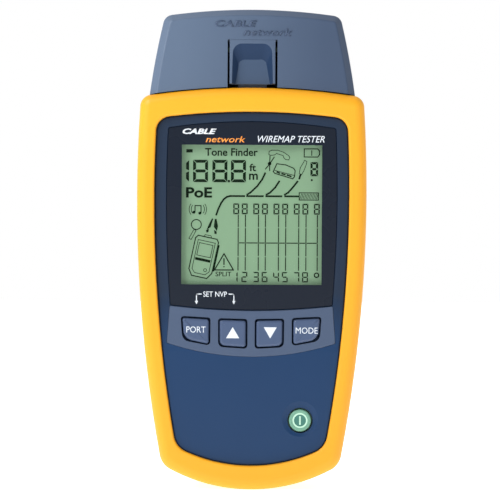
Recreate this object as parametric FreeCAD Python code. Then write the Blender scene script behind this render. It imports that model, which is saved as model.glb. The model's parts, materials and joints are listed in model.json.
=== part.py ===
"""Hand-held network cable tester with a plug-in wiremap adapter on its top end.

Millimetres. X runs across the face, Y from the front (-) to the rear (+), Z up along the tester.
The origin is under the middle of the tester, at its lowest point. Every separate piece is written
to parts/NODE.step.
"""

import FreeCAD
import Part
import math
import os

V = FreeCAD.Vector

# ---- driving dimensions of the tester body -------------------------------------------------
HALF_WIDTH = 38.2          # at the widest height
WIDEST_Z = 98.0
SIDE_RADIUS = 473.0        # the long sides, seen from the front
BOTTOM_RADIUS = 57.0
FACE_BOTTOM_RADIUS = 52.0
TOP_RADIUS = 228.0
BODY_TOP = 133.7           # crown of the tester's own top edge
FRONT_Y = -18.0
REAR_Y = 18.0
RIM_FILLET = 3.4           # outer edges of the overmould
BOTTOM_CORNER = 6.8
TOP_CORNER = 4.0

SEAM_DEPTH = 0.35          # groove where the two halves of the soft rim meet
SEAM_HALF = 0.2
GRIP_RADIUS = 1.5          # grooves across the sides
GRIP_DEPTH = 0.45
GRIP_HALF = 11.5
GRIP_LOW = 46.0
GRIP_STEP = 5.5
GRIP_COUNT = 10

# ---- walls ---------------------------------------------------------------------------------
OVERMOULD = 3.0            # soft rim over the hard shell
SHELL_INSET = OVERMOULD
CAVITY_INSET = 5.2
SHELL_FRONT_Y = -15.5
SHELL_REAR_Y = 15.5
CAVITY_FRONT_Y = -13.4
CAVITY_REAR_Y = 13.4
FACE_INSET = 5.8           # hard face framed by the soft rim: sides
FACE_INSET_ENDS = 8.05     # and its two ends
FACE_GAP = 0.35
FACE_Y = -16.2             # level of the face round the display
FACE_CREST_Y = -17.0       # level of the face's crest below the keys
FACE_FOOT_Y = -15.9
CREST_Z = 46.0

# ---- display -------------------------------------------------------------------------------
LENS_INSET = 10.0
LENS_TOP = 122.2
LENS_TOP_RADIUS = 180.0
LENS_FOOT = 59.9
LENS_FOOT_RADIUS = 229.0
VIEW_HALF = 23.3           # visible part of the display
VIEW_LOW = 68.2
VIEW_HIGH = 114.6
LENS_POCKET_Y = -15.0
GASKET = 0.2
LENS_THICK = 0.8
OVERLAY_THICK = 0.15
LCD_FRONT_Y = -13.3
LCD_GLASS = 2.2
BACKLIGHT = 2.5
LCD_HALF = 25.0
LCD_LOW = 65.7
LCD_HIGH = 116.5
FRAME_WALL = 1.5

# ---- keys ----------------------------------------------------------------------------------
KEY_GAP = 0.45
KEY_TRAVEL = 0.8
KEY_PROUD = 0.55           # above the panel round them
PANEL_PROUD = 0.12         # that panel above the face
KEY_FLANGE_Y = -13.2
KEY_FLANGE = 0.6
OUTER_KEY = [(-23.4, 57.7, 1.0), (-13.5, 57.2, 1.0), (-13.5, 47.9, 1.2), (-22.8, 49.6, 2.8)]
INNER_KEY = [(-11.0, 57.0, 1.0), (-1.2, 56.8, 1.0), (-1.2, 46.9, 1.2), (-10.9, 47.5, 1.8)]
POWER_X = 16.4
POWER_Z = 23.2
POWER_HOLE = 4.2
POWER_KEY = 3.75

# ---- boards --------------------------------------------------------------------------------
BOARD_FRONT_Y = -6.6
BOARD_REAR_Y = -5.0
MAT_THICK = 0.8
PAD_THICK = 0.1
STEM_RADIUS = 2.0
PILL_THICK = 0.5

# ---- sockets on the end panels -------------------------------------------------------------
MOUTH_HALF_X = 30.0
MOUTH_HALF_Y = 12.0
MOUTH_CORNER = 4.0
PANEL_LOW = 125.0
PANEL_HIGH = 127.0
JACK_X = -16.0
JACK_WIDTH = 16.0
JACK_HEIGHT = 13.5         # off the board
JACK_LENGTH = 21.3
SOCKET_WIDTH = 11.9        # 8P8C modular socket
SOCKET_HEIGHT = 8.1
SOCKET_DEPTH = 13.0
LATCH_SLOT_WIDTH = 6.4
COAX_X = 18.0
COAX_Y = 1.8
COAX_RADIUS = 9.525 / 2    # 3/8-32 thread of an F connector
COAX_LENGTH = 9.5
COAX_NECK = 4.5            # plain neck under the nut
NUT_THICK = 1.0

# ---- adapter -------------------------------------------------------------------------------
DOCK_GAP = 0.25
ADAPTER_TOP = 160.0
ADAPTER_TOP_RADIUS = 196.0
ADAPTER_FOOT_HALF = 34.2
ADAPTER_MID = (31.85, 146.0)
ADAPTER_HEAD = (29.3, 157.8)
ADAPTER_CORNER = 3.4
ADAPTER_BEVEL = 2.8
ADAPTER_WALL = 2.2
ADAPTER_FOOT_Y = 16.0      # half depth at its foot
ADAPTER_HEAD_Y = 14.0      # and at its head
ADAPTER_CAVITY_LOW = 136.2
TENON_CLEAR = 0.3
TENON_WALL = 1.6
TENON_LOW = 127.4
ADAPTER_PANEL_THICK = 1.8
ADAPTER_BOARD_LOW = 146.0
BOARD_THICK = 1.6
ADAPTER_COAX_X = 1.5
ADAPTER_COAX_Y = 1.0
TAB_HALF = 7.6
TAB_SLOT = 0.7
TAB_LOW = 135.0
TAB_PIVOT_Z = 149.2
TAB_PIVOT_R = 1.0
TAB_THICK = 3.0
TONGUE_HALF = 4.8

# ---- batteries and their door --------------------------------------------------------------
CELL_RADIUS = 7.25
CELL_X = 7.45
CELL_Y = 8.1
CELL_LENGTH = 50.5
NUB_RADIUS = 2.75
NUB_LENGTH = 1.2
BAY_HALF = 15.0
BAY_LOW = 13.5
BAY_HIGH = 69.5
BAY_FLOOR_Y = 0.6
BAY_WALL = 1.4
CONTACT_THICK = 0.5
SPRING_TURNS = 3.5
DOOR_HALF = 16.6
DOOR_TOP = 75.6
DOOR_GAP = 0.25
DOOR_THICK = 2.4
DOOR_PIVOT_Z = 13.2
DOOR_PIN_R = 0.9
DOOR_SCREW_Z = 72.4

CASE_SCREWS = [(-27.2, 120.4), (27.2, 120.4), (-22.0, 36.0), (22.0, 36.0)]


# ---- helpers -------------------------------------------------------------------------------
def box(x0, x1, y0, y1, z0, z1):
    """A block given by its lowest and highest corner."""
    return Part.makeBox(x1 - x0, y1 - y0, z1 - z0, V(x0, y0, z0))


def rod_y(radius, x, z, y0, y1):
    """A round bar along Y."""
    return Part.makeCylinder(radius, y1 - y0, V(x, y0, z), V(0, 1, 0))


def rod_x(radius, y, z, x0, x1):
    """A round bar along X."""
    return Part.makeCylinder(radius, x1 - x0, V(x0, y, z), V(1, 0, 0))


def rod_z(radius, x, y, z0, z1):
    """A round bar along Z."""
    return Part.makeCylinder(radius, z1 - z0, V(x, y, z0), V(0, 0, 1))


def joined(shapes):
    """One shape from several that touch or overlap."""
    first = shapes[0]
    return first.multiFuse(shapes[1:]).removeSplitter() if len(shapes) > 1 else first


def cut(shape, *tools):
    """shape less the tools."""
    return shape.cut(Part.makeCompound(list(tools))).removeSplitter()


def crossing(centre_a, radius_a, centre_b, radius_b, lower):
    """Where two circles in the XZ plane cross, on the +X side; lower picks the lower crossing."""
    (ax, az), (bx, bz) = centre_a, centre_b
    gap = math.hypot(bx - ax, bz - az)
    along = (radius_a ** 2 - radius_b ** 2 + gap ** 2) / (2 * gap)
    off = math.sqrt(radius_a ** 2 - along ** 2)
    ux, uz = (bx - ax) / gap, (bz - az) / gap
    found = [(ax + along * ux - s * off * uz, az + along * uz + s * off * ux) for s in (-1, 1)]
    found = [p for p in found if p[0] > 0]
    return min(found, key=lambda p: p[1]) if lower else max(found, key=lambda p: p[1])


def body_x(z, inset=0.0):
    """Half the body's width at a height, less an inset."""
    radius = SIDE_RADIUS - inset
    return HALF_WIDTH - SIDE_RADIUS + math.sqrt(radius ** 2 - (z - WIDEST_Z) ** 2)


def top_z(x, radius=TOP_RADIUS, crown=BODY_TOP):
    """Height of a crowned top edge at x."""
    return crown - radius + math.sqrt(radius ** 2 - x ** 2)


def arc_loop(points, y):
    """A closed wire from (start, through) pairs of XZ points: each arc ends where the next starts."""
    edges = []
    for i, (start, through) in enumerate(points):
        end = points[(i + 1) % len(points)][0]
        a, b = V(start[0], y, start[1]), V(end[0], y, end[1])
        if through is None:
            edges.append(Part.LineSegment(a, b).toShape())
        else:
            edges.append(Part.Arc(a, V(through[0], y, through[1]), b).toShape())
    return Part.Wire(edges)


def fillet_corners(solid, radii):
    """Rounds the edges that run along Y; radii maps a test of (x, z) to a radius."""
    for test, radius in radii:
        picked = []
        for edge in solid.Edges:
            bound = edge.BoundBox
            along_y = bound.XLength < 1e-6 and bound.ZLength < 1e-6 and bound.YLength > 0.1
            if along_y and test(bound.Center.x, bound.Center.z):
                picked.append(edge)
        if picked:
            solid = solid.makeFillet(radius, picked)
    return solid


def rim_edges(solid, y, keep=lambda edge: True):
    """The edges that lie in the plane Y = y."""
    return [
        edge for edge in solid.Edges
        if edge.BoundBox.YLength < 1e-5 and abs(edge.BoundBox.Center.y - y) < 1e-5 and keep(edge)
    ]


def body_prism(
    side, ends, bottom_corner, top_corner, y0, y1, radius=BOTTOM_RADIUS, top=None
):
    """The tester's outline, inset from its sides and its ends, as a prism along Y."""
    side_centre = (HALF_WIDTH - SIDE_RADIUS, WIDEST_Z)
    top_inset = ends if top is None else top
    foot = crossing(side_centre, SIDE_RADIUS - side, (0, radius + ends), radius, True)
    crown = BODY_TOP - top_inset
    head = crossing(side_centre, SIDE_RADIUS - side, (0, crown - TOP_RADIUS), TOP_RADIUS, False)
    wire = arc_loop(
        [
            ((-foot[0], foot[1]), (0, ends)),
            (foot, (body_x(80, side), 80)),
            (head, (0, crown)),
            ((-head[0], head[1]), (-body_x(80, side), 80)),
        ],
        y0,
    )
    solid = Part.Face(wire).extrude(V(0, y1 - y0, 0))
    return fillet_corners(
        solid, [(lambda x, z: z < 60, bottom_corner), (lambda x, z: z >= 60, top_corner)]
    )


def rounded_block(half_x, half_y, corner, z0, z1, x=0.0, y=0.0):
    """An upright block with rounded vertical edges."""
    block = box(x - half_x, x + half_x, y - half_y, y + half_y, z0, z1)
    upright = [e for e in block.Edges if e.BoundBox.ZLength > (z1 - z0) / 2]
    return block.makeFillet(corner, upright)


def rounded_plate(half_x, z0, z1, corner, y0, y1):
    """A plate across Y with rounded corners."""
    plate = box(-half_x, half_x, y0, y1, z0, z1)
    return fillet_corners(plate, [(lambda x, z: True, corner)])


def ring_y(outer, inner, x, z, y0, y1):
    """A tube along Y."""
    return cut(rod_y(outer, x, z, y0, y1), rod_y(inner, x, z, y0 - 1, y1 + 1))


def ring_z(outer, inner, x, y, z0, z1):
    """A tube along Z."""
    return cut(rod_z(outer, x, y, z0, z1), rod_z(inner, x, y, z0 - 1, z1 + 1))


# ---- outlines on the face ------------------------------------------------------------------
def lens_prism(inset, y0, y1):
    """The display lens's outline: bowed sides, crowned top and sagging foot."""
    side_centre = (HALF_WIDTH - SIDE_RADIUS, WIDEST_Z)
    side = SIDE_RADIUS - LENS_INSET - inset
    foot_level, head_level = LENS_FOOT + inset, LENS_TOP - inset
    foot = crossing(side_centre, side, (0, foot_level + LENS_FOOT_RADIUS), LENS_FOOT_RADIUS, True)
    head = crossing(side_centre, side, (0, head_level - LENS_TOP_RADIUS), LENS_TOP_RADIUS, False)
    middle = (body_x(90, LENS_INSET + inset), 90)
    wire = arc_loop(
        [
            ((-foot[0], foot[1]), (0, foot_level)),
            (foot, middle),
            (head, (0, head_level)),
            ((-head[0], head[1]), (-middle[0], 90)),
        ],
        y0,
    )
    solid = Part.Face(wire).extrude(V(0, y1 - y0, 0))
    return fillet_corners(solid, [(lambda x, z: z < 80, 0.5), (lambda x, z: z >= 80, 1.0)])


def keypad_prism(inset, y0, y1):
    """The outline of the panel round the four keys."""
    head = (27.1 - inset, 61.1 - inset)
    foot = (28.0 - inset, 48.8 + inset)
    wire = arc_loop(
        [
            ((-foot[0], foot[1]), (0, 44.3 + inset)),
            (foot, None),
            (head, (0, 59.5 - inset)),
            ((-head[0], head[1]), None),
        ],
        y0,
    )
    solid = Part.Face(wire).extrude(V(0, y1 - y0, 0))
    return fillet_corners(solid, [(lambda x, z: True, 0.5)])


def key_prism(corners, inset, y0, y1):
    """A four-sided key or key hole with its own radius at each corner."""
    count = len(corners)
    centre = V(sum(c[0] for c in corners) / count, 0, sum(c[1] for c in corners) / count)
    points = []
    for x, z, _ in corners:
        to_middle = V(centre.x - x, 0, centre.z - z)
        step_x = inset * math.copysign(1, to_middle.x)
        step_z = inset * math.copysign(1, to_middle.z)
        points.append(V(x + step_x, y0, z + step_z))
    solid = Part.Face(Part.makePolygon(points + points[:1])).extrude(V(0, y1 - y0, 0))
    for point, (_, _, radius) in zip(points, corners):
        def here(x, z, point=point):
            return math.hypot(x - point.x, z - point.z) < 0.05
        solid = fillet_corners(solid, [(here, max(radius - inset * 0.5, 0.3))])
    return solid


def face_block():
    """The hard face: level round the display, with a low crest under the keys."""
    outline = body_prism(
        FACE_INSET + FACE_GAP, FACE_INSET_ENDS + FACE_GAP, 6.6, 4.6, -18.5, SHELL_FRONT_Y,
        FACE_BOTTOM_RADIUS,
    )
    side = [
        V(-40, SHELL_FRONT_Y, 0),
        V(-40, FACE_FOOT_Y, 4),
        V(-40, FACE_CREST_Y, CREST_Z),
        V(-40, FACE_Y, 64),
        V(-40, FACE_Y, 134),
        V(-40, SHELL_FRONT_Y, 134),
    ]
    bow = V(-40, (FACE_FOOT_Y + FACE_CREST_Y) / 2 - 0.42, (4 + CREST_Z) / 2)
    edges = [
        Part.LineSegment(side[0], side[1]).toShape(),
        Part.Arc(side[1], bow, side[2]).toShape(),
        Part.LineSegment(side[2], side[3]).toShape(),
        Part.LineSegment(side[3], side[4]).toShape(),
        Part.LineSegment(side[4], side[5]).toShape(),
        Part.LineSegment(side[5], side[0]).toShape(),
    ]
    profile = Part.Face(Part.Wire(edges)).extrude(V(80, 0, 0))
    return outline.common(profile).removeSplitter()


def all_key_corners():
    """Names and corner lists of the four panel keys, left to right."""
    def flipped(corners):
        return [(-x, z, r) for x, z, r in reversed(corners)]
    return {
        "port_key": OUTER_KEY,
        "up_key": INNER_KEY,
        "down_key": flipped(INNER_KEY),
        "mode_key": flipped(OUTER_KEY),
    }


def key_centre(corners):
    """Middle of a key."""
    return sum(c[0] for c in corners) / 4, sum(c[1] for c in corners) / 4


def mouth(low, clear=0.0):
    """The opening in the tester's top end that the adapter plugs into."""
    return rounded_block(MOUTH_HALF_X - clear, MOUTH_HALF_Y - clear, MOUTH_CORNER - clear, low, 140)


# ---- the tester's casing -------------------------------------------------------------------
def outer_body():
    """Solid envelope of the overmould, with rounded rims."""
    body = body_prism(0, 0, BOTTOM_CORNER, TOP_CORNER, FRONT_Y, REAR_Y)
    return body.makeFillet(RIM_FILLET, rim_edges(body, FRONT_Y) + rim_edges(body, REAR_Y))


def shell_solid(y0, y1):
    """Envelope of the hard shell under the overmould."""
    return body_prism(SHELL_INSET, SHELL_INSET, 5.5, 1.4, y0, y1)


def seam():
    """The fine groove round the tester where its two halves meet."""
    grown = body_prism(
        -0.5, -0.5, BOTTOM_CORNER + 0.5, TOP_CORNER + 0.5, -SEAM_HALF, SEAM_HALF
    )
    core = body_prism(
        SEAM_DEPTH, SEAM_DEPTH, BOTTOM_CORNER - SEAM_DEPTH, TOP_CORNER - SEAM_DEPTH,
        -SEAM_HALF - 1, SEAM_HALF + 1,
    )
    return cut(grown, core)


def grip_grooves():
    """Shallow grooves across both sides, clear of the front and rear rims."""
    rods = []
    for i in range(GRIP_COUNT):
        z = GRIP_LOW + i * GRIP_STEP
        x = body_x(z) + GRIP_RADIUS - GRIP_DEPTH
        rods.append(rod_y(GRIP_RADIUS, -x, z, -GRIP_HALF, GRIP_HALF))
        rods.append(rod_y(GRIP_RADIUS, x, z, -GRIP_HALF, GRIP_HALF))
    return rods


def overmoulds(body):
    """The soft rim: one part bonded to each half shell."""
    face_hole = body_prism(
        FACE_INSET, FACE_INSET_ENDS, 7.0, 5.0, -19, SHELL_FRONT_Y, FACE_BOTTOM_RADIUS
    )
    panel_hole = body_prism(
        FACE_INSET, FACE_INSET_ENDS, 7.0, 5.0, SHELL_REAR_Y, 19, FACE_BOTTOM_RADIUS
    )
    far = 100
    front_half = body.common(box(-far, far, -20, 0, -5, 150))
    rear_half = body.common(box(-far, far, 0, 20, -5, 150))
    front = cut(front_half, shell_solid(SHELL_FRONT_Y, 1), face_hole, mouth(PANEL_HIGH))
    rear = cut(rear_half, shell_solid(-1, SHELL_REAR_Y), panel_hole, mouth(PANEL_HIGH))
    inner_rim = [e for e in rim_edges(front, FRONT_Y) if abs(e.BoundBox.Center.x) < 33]
    front = front.makeFillet(0.7, inner_rim)
    grooves = [seam(), *grip_grooves()]
    return cut(front, *grooves), cut(rear, *grooves)


def screw_boss(x, z, y0, y1, outer, bore):
    """A moulded boss round a screw hole."""
    return ring_y(outer, bore, x, z, y0, y1)


def front_shell():
    """Hard front half: face, lens pocket, key holes and four screw bosses."""
    shell = joined([shell_solid(SHELL_FRONT_Y, 0), face_block()])
    soft_edge = [
        e for e in shell.Edges
        if e.BoundBox.Center.y < SHELL_FRONT_Y - 0.2 and e.BoundBox.YLength < 1.2 and e.Length > 2
        and not (e.BoundBox.XLength > 40 and e.BoundBox.ZLength < 0.01)
    ]
    shell = shell.makeFillet(0.3, soft_edge)
    cavity = body_prism(CAVITY_INSET, CAVITY_INSET, 4, 1, CAVITY_FRONT_Y, 1)
    window = box(-VIEW_HALF - 1.2, VIEW_HALF + 1.2, -19, -10, VIEW_LOW - 1.2, VIEW_HIGH + 1.2)
    tools = [cavity, lens_prism(-0.3, -19, LENS_POCKET_Y), window, mouth(PANEL_HIGH)]
    tools.append(keypad_prism(-0.05, -19, SHELL_FRONT_Y + 0.4))
    for corners in all_key_corners().values():
        tools.append(key_prism(corners, 0, -19, -10))
    tools.append(rod_y(POWER_HOLE, POWER_X, POWER_Z, -19, -10))
    tools.append(Part.makeCone(11.0, 4.4, 2.2, V(POWER_X, -18.5, POWER_Z), V(0, 1, 0)))
    shell = cut(shell, *tools)
    bosses = [screw_boss(x, z, CAVITY_FRONT_Y, -0.3, 2.35, 1.15) for x, z in CASE_SCREWS]
    groove = end_panel_block(0.0)
    ledge = cut(
        box(-32, 32, CAVITY_FRONT_Y, -MOUTH_HALF_Y, PANEL_LOW - 1.2, PANEL_HIGH),
        groove,
    )
    shell = joined([shell, ledge, *bosses])
    pocket = box(-TONGUE_HALF - 0.7, TONGUE_HALF + 0.7, -13.2, -11, 127.6, 130.4)
    return cut(shell, pocket, groove)


def end_panel_block(clear):
    """Blank of the tester's end panel."""
    half_x = MOUTH_HALF_X + 0.6 - clear
    half_y = MOUTH_HALF_Y + 0.6 - clear
    return rounded_block(half_x, half_y, 4, PANEL_LOW, PANEL_HIGH)


def battery_tub():
    """Walls of the battery bay, moulded into the rear shell."""
    outer = box(
        -BAY_HALF - BAY_WALL, BAY_HALF + BAY_WALL, BAY_FLOOR_Y - BAY_WALL, SHELL_REAR_Y,
        BAY_LOW - BAY_WALL, BAY_HIGH + BAY_WALL,
    )
    ledge = box(-18.4, 18.4, 13.9, SHELL_REAR_Y, 9.6, DOOR_TOP + 1.6)
    boss = rod_y(3.2, 0, DOOR_SCREW_Z + 1.0, 8.0, SHELL_REAR_Y)
    return [outer, ledge, boss]


def bay_hollow():
    """The space that the two cells and their contacts fill."""
    return box(-BAY_HALF, BAY_HALF, BAY_FLOOR_Y, 19, BAY_LOW, BAY_HIGH)


def door_opening():
    """Everything cut from the rear shell for the door, its hinge and its swing."""
    half = DOOR_HALF + DOOR_GAP
    pivot_y = REAR_Y - DOOR_THICK / 2
    hole = box(-half, half, SHELL_REAR_Y, 19, DOOR_PIVOT_Z, DOOR_TOP + DOOR_GAP)
    hole = fillet_corners(hole, [(lambda x, z: z > 60, 3.0)])
    barrel = rod_x(DOOR_THICK / 2 + 0.15, pivot_y, DOOR_PIVOT_Z, -half, half)
    pins = rod_x(DOOR_PIN_R + 0.06, pivot_y, DOOR_PIVOT_Z, -DOOR_HALF - 1.7, DOOR_HALF + 1.7)
    relief = Part.Face(
        Part.makePolygon(
            [V(-half, 18.2, 10.9), V(-half, 18.2, 13.4), V(-half, 16.9, 12.0), V(-half, 18.2, 10.9)]
        )
    ).extrude(V(2 * half, 0, 0))
    return [hole, barrel, pins, relief]


def rear_shell():
    """Hard rear half with the battery bay, screw wells and a label recess."""
    panel = body_prism(
        FACE_INSET + FACE_GAP, FACE_INSET_ENDS + FACE_GAP, 6.6, 4.6, SHELL_REAR_Y, REAR_Y,
        FACE_BOTTOM_RADIUS,
    )
    panel = panel.makeFillet(0.5, rim_edges(panel, REAR_Y))
    shell = joined([shell_solid(0, SHELL_REAR_Y), panel])
    cavity = body_prism(CAVITY_INSET, CAVITY_INSET, 4, 1, -1, CAVITY_REAR_Y)
    lightened = cut(
        body_prism(10.5, 10.5, 4, 3, 13, 15.8),
        box(-18.4, 18.4, 12, 17, 0, DOOR_TOP + 1.6),
        *[rod_y(4.4, x, z, 12, 17) for x, z in CASE_SCREWS],
    )
    shell = cut(shell, cavity, lightened, mouth(PANEL_HIGH))
    posts = [rod_y(3.1, x, z, 0.3, CAVITY_REAR_Y + 1) for x, z in CASE_SCREWS]
    ledge = box(-32, 32, MOUTH_HALF_Y, CAVITY_REAR_Y, PANEL_LOW - 1.2, PANEL_HIGH)
    shell = joined([shell, ledge, *battery_tub(), *posts])
    tools = [bay_hollow(), *door_opening(), end_panel_block(0.0)]
    for x, z in CASE_SCREWS:
        tools += [rod_y(1.5, x, z, -1, 19), rod_y(2.5, x, z, 5.0, 19)]
    tools.append(rod_y(2.31, 0, DOOR_SCREW_Z, 10.4, 19))
    tools.append(rear_label(0.1, 0.4))
    return cut(shell, *tools)


def rear_label(gap, deep):
    """The rating label's outline on the rear panel."""
    return rounded_plate(20 + gap, 84 - gap, 112 + gap, 2, REAR_Y - deep, REAR_Y + (1 if gap else -0.1))


def end_panel():
    """The tester's end panel with the openings for its two sockets."""
    panel = end_panel_block(0.03)
    jack = box(
        JACK_X - JACK_WIDTH / 2, JACK_X + JACK_WIDTH / 2,
        BOARD_REAR_Y, BOARD_REAR_Y + JACK_HEIGHT, PANEL_LOW - 1, PANEL_HIGH + 1,
    )
    coax = rod_z(COAX_NECK + 0.2, COAX_X, COAX_Y, PANEL_LOW - 1, PANEL_HIGH + 1)
    return cut(panel, jack, coax)


# ---- display and keypad --------------------------------------------------------------------
def display_parts():
    """Overlay, lens, gasket, liquid crystal cell, light guide, frame and contact strips."""
    lens_back = LENS_POCKET_Y - GASKET
    lens_front = lens_back - LENS_THICK
    view = box(-VIEW_HALF, VIEW_HALF, -19, 0, VIEW_LOW, VIEW_HIGH)
    wide_view = box(-VIEW_HALF - 1.2, VIEW_HALF + 1.2, -19, 0, VIEW_LOW - 1.2, VIEW_HIGH + 1.2)
    overlay = cut(lens_prism(0, lens_front - OVERLAY_THICK, lens_front), view)
    lens = lens_prism(0, lens_front, lens_back)
    key_holes = [key_prism(c, 0, -19, 0) for c in all_key_corners().values()]
    gasket = cut(lens_prism(0.4, lens_back, LENS_POCKET_Y), wide_view, *key_holes)
    glass_back = LCD_FRONT_Y + LCD_GLASS
    rear_glass = box(-LCD_HALF, LCD_HALF, LCD_FRONT_Y, glass_back, LCD_LOW, LCD_HIGH)
    step = box(-LCD_HALF, LCD_HALF, LCD_FRONT_Y + 1.1, glass_back, LCD_LOW - 1, LCD_LOW + 1.9)
    lcd = cut(rear_glass, step)
    guide = box(-LCD_HALF, LCD_HALF, glass_back, glass_back + BACKLIGHT, LCD_LOW + 2.2, LCD_HIGH)
    outer = LCD_HALF + FRAME_WALL
    frame = box(-outer, outer, LCD_FRONT_Y, BOARD_FRONT_Y, LCD_LOW - FRAME_WALL, LCD_HIGH + FRAME_WALL)
    well = box(-LCD_HALF, LCD_HALF, LCD_FRONT_Y - 1, glass_back + BACKLIGHT, LCD_LOW, LCD_HIGH)
    relief = box(-20, 20, glass_back + BACKLIGHT - 1, BOARD_FRONT_Y + 1, LCD_LOW + 6, LCD_HIGH - 4)
    strip = box(
        -LCD_HALF + 1, LCD_HALF - 1, LCD_FRONT_Y + 1.1, BOARD_FRONT_Y, LCD_LOW + 0.2, LCD_LOW + 1.8
    )
    frame = cut(frame, well, relief, strip)
    return {
        "face_overlay": overlay,
        "display_lens": lens,
        "lens_gasket": gasket,
        "lcd_cell": lcd,
        "backlight_guide": guide,
        "display_frame": frame,
        "contact_strip": strip,
    }


def ramp(proud):
    """Everything behind the sloping plane of the keypad, raised a little."""
    slope = (FACE_Y - FACE_CREST_Y) / (62.5 - CREST_Z)
    low_y = FACE_CREST_Y - proud - slope * 6
    high_y = FACE_Y - proud + slope * 6
    points = [V(-40, 0, CREST_Z - 6), V(-40, low_y, CREST_Z - 6), V(-40, high_y, 68.5), V(-40, 0, 68.5)]
    return Part.Face(Part.makePolygon(points + points[:1])).extrude(V(80, 0, 0))


def keypad_panel():
    """Trim panel round the four keys; its front follows the face's ramp, a little proud of it."""
    panel = keypad_prism(0, -19, SHELL_FRONT_Y + 0.4).common(ramp(PANEL_PROUD)).removeSplitter()
    rim = [
        e
        for e in panel.Edges
        if e.BoundBox.Center.y < -16.0 and e.BoundBox.YLength < 1.3 and e.Length > 3
    ]
    panel = panel.makeFillet(0.25, [e for e in rim if not (e.BoundBox.ZLength < 0.01)])
    return cut(panel, *[key_prism(c, 0, -19, 0) for c in all_key_corners().values()])


def panel_key(corners):
    """A moulded key: sloping cap, retaining flange and stem."""
    cap = key_prism(corners, KEY_GAP, -19, KEY_FLANGE_Y).common(ramp(PANEL_PROUD + KEY_PROUD))
    front = min(cap.Faces, key=lambda face: face.CenterOfMass.y)
    cap = cap.makeFillet(0.35, front.Edges)
    flange = key_prism(corners, -KEY_FLANGE, KEY_FLANGE_Y, KEY_FLANGE_Y + 0.6)
    x, z = key_centre(corners)
    stem = rod_y(STEM_RADIUS, x, z, KEY_FLANGE_Y + 0.6, pill_front_y())
    return joined([cap, flange, stem])


def power_key():
    """The round power key, shallow-dished."""
    cap = rod_y(POWER_KEY, POWER_X, POWER_Z, -17.1, KEY_FLANGE_Y)
    cap = cap.makeFillet(0.4, rim_edges(cap, -17.1))
    flange = rod_y(POWER_HOLE + KEY_FLANGE, POWER_X, POWER_Z, KEY_FLANGE_Y, KEY_FLANGE_Y + 0.6)
    stem = rod_y(STEM_RADIUS, POWER_X, POWER_Z, KEY_FLANGE_Y + 0.6, pill_front_y())
    return joined([cap, flange, stem])


def pill_front_y():
    """Where a key's stem ends and its contact pill begins."""
    return BOARD_FRONT_Y - PAD_THICK - 0.15 - KEY_TRAVEL - PILL_THICK


def key_places():
    """Name and middle of every key."""
    places = {name: key_centre(corners) for name, corners in all_key_corners().items()}
    places["power_key"] = (POWER_X, POWER_Z)
    return places


def keypad_mat():
    """Silicone mat on the board, with a raised collar round each contact."""
    sheet = body_prism(11, 11, 4, 1, BOARD_FRONT_Y - MAT_THICK, BOARD_FRONT_Y)
    sheet = sheet.common(box(-40, 40, -20, 0, 15, 62))
    collars, holes = [], []
    for x, z in key_places().values():
        collars.append(
            Part.makeCone(4.2, 2.9, 2.0, V(x, BOARD_FRONT_Y - MAT_THICK, z), V(0, -1, 0))
        )
        holes.append(rod_y(STEM_RADIUS + 0.25, x, z, -20, 0))
    holes += [rod_y(2.8, x, z, -20, 0) for x, z in CASE_SCREWS]
    return cut(joined([sheet, *collars]), *holes)


# ---- tester electronics --------------------------------------------------------------------
def main_board():
    """The tester's board, with clearance round the screw bosses."""
    board = body_prism(6.2, 8.0, 3, 1, BOARD_FRONT_Y, BOARD_REAR_Y, top=9.4)
    return cut(board, *[rod_y(2.8, x, z, -8, -4) for x, z in CASE_SCREWS])


def jack_housing(x, y_board, up, z_face):
    """An 8P8C modular socket. up is the way it faces, y_board the side that its contacts are on."""
    low, high = (z_face - JACK_LENGTH, z_face) if up > 0 else (z_face, z_face + JACK_LENGTH - 2.9)
    body = box(x - JACK_WIDTH / 2, x + JACK_WIDTH / 2, y_board, y_board + JACK_HEIGHT, low, high)
    face = z_face
    inner = face - up * SOCKET_DEPTH
    z0, z1 = sorted((inner, face + up))
    half = SOCKET_WIDTH / 2
    socket = box(x - half, x + half, y_board + 1.3, y_board + 1.3 + SOCKET_HEIGHT, z0, z1)
    tongue = box(
        x - LATCH_SLOT_WIDTH / 2, x + LATCH_SLOT_WIDTH / 2,
        y_board + 1.3 + SOCKET_HEIGHT - 0.1, y_board + 12.2, z0, z1,
    )
    return cut(body, socket, tongue)


def jack_contacts(x, y_board, up, z_face):
    """The eight spring wires of a modular socket, as one group."""
    wires = []
    pitch = 1.02
    for i in range(8):
        wx = x + (i - 3.5) * pitch
        deep, near = z_face - up * (SOCKET_DEPTH - 0.1), z_face - up * 4.0
        start = V(wx, y_board + 1.54, near)
        end = V(wx, y_board + 3.6, deep)
        wires.append(Part.makeCylinder(0.2, (end - start).Length, start, end - start))
    return Part.makeCompound(wires)


def coax_connector(x, y, up, z_face, base_low, base_high):
    """An F connector: threaded barrel on a square base. z_face is where the barrel starts."""
    z0, z1 = sorted((z_face, z_face + up * COAX_LENGTH))
    barrel = rod_z(COAX_RADIUS, x, y, z0, z1)
    base = rounded_block(6, 6, 0.8, base_low, base_high, x, y)
    mouth_z = z_face + up * COAX_LENGTH
    b0, b1 = sorted((mouth_z - up * 6.0, mouth_z + up))
    body = joined([base, barrel, rod_z(COAX_NECK, x, y, base_low, max(base_high, z0))])
    bore = rod_z(3.9, x, y, b0, b1)
    return cut(body, bore)


def coax_insulator(x, y, up, z_face):
    """White insulator in the connector's mouth, with the hole for the centre conductor."""
    mouth_z = z_face + up * COAX_LENGTH
    z0, z1 = sorted((mouth_z - up * 6.0, mouth_z - up * 0.8))
    return ring_z(3.85, 0.6, x, y, z0, z1)


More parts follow.
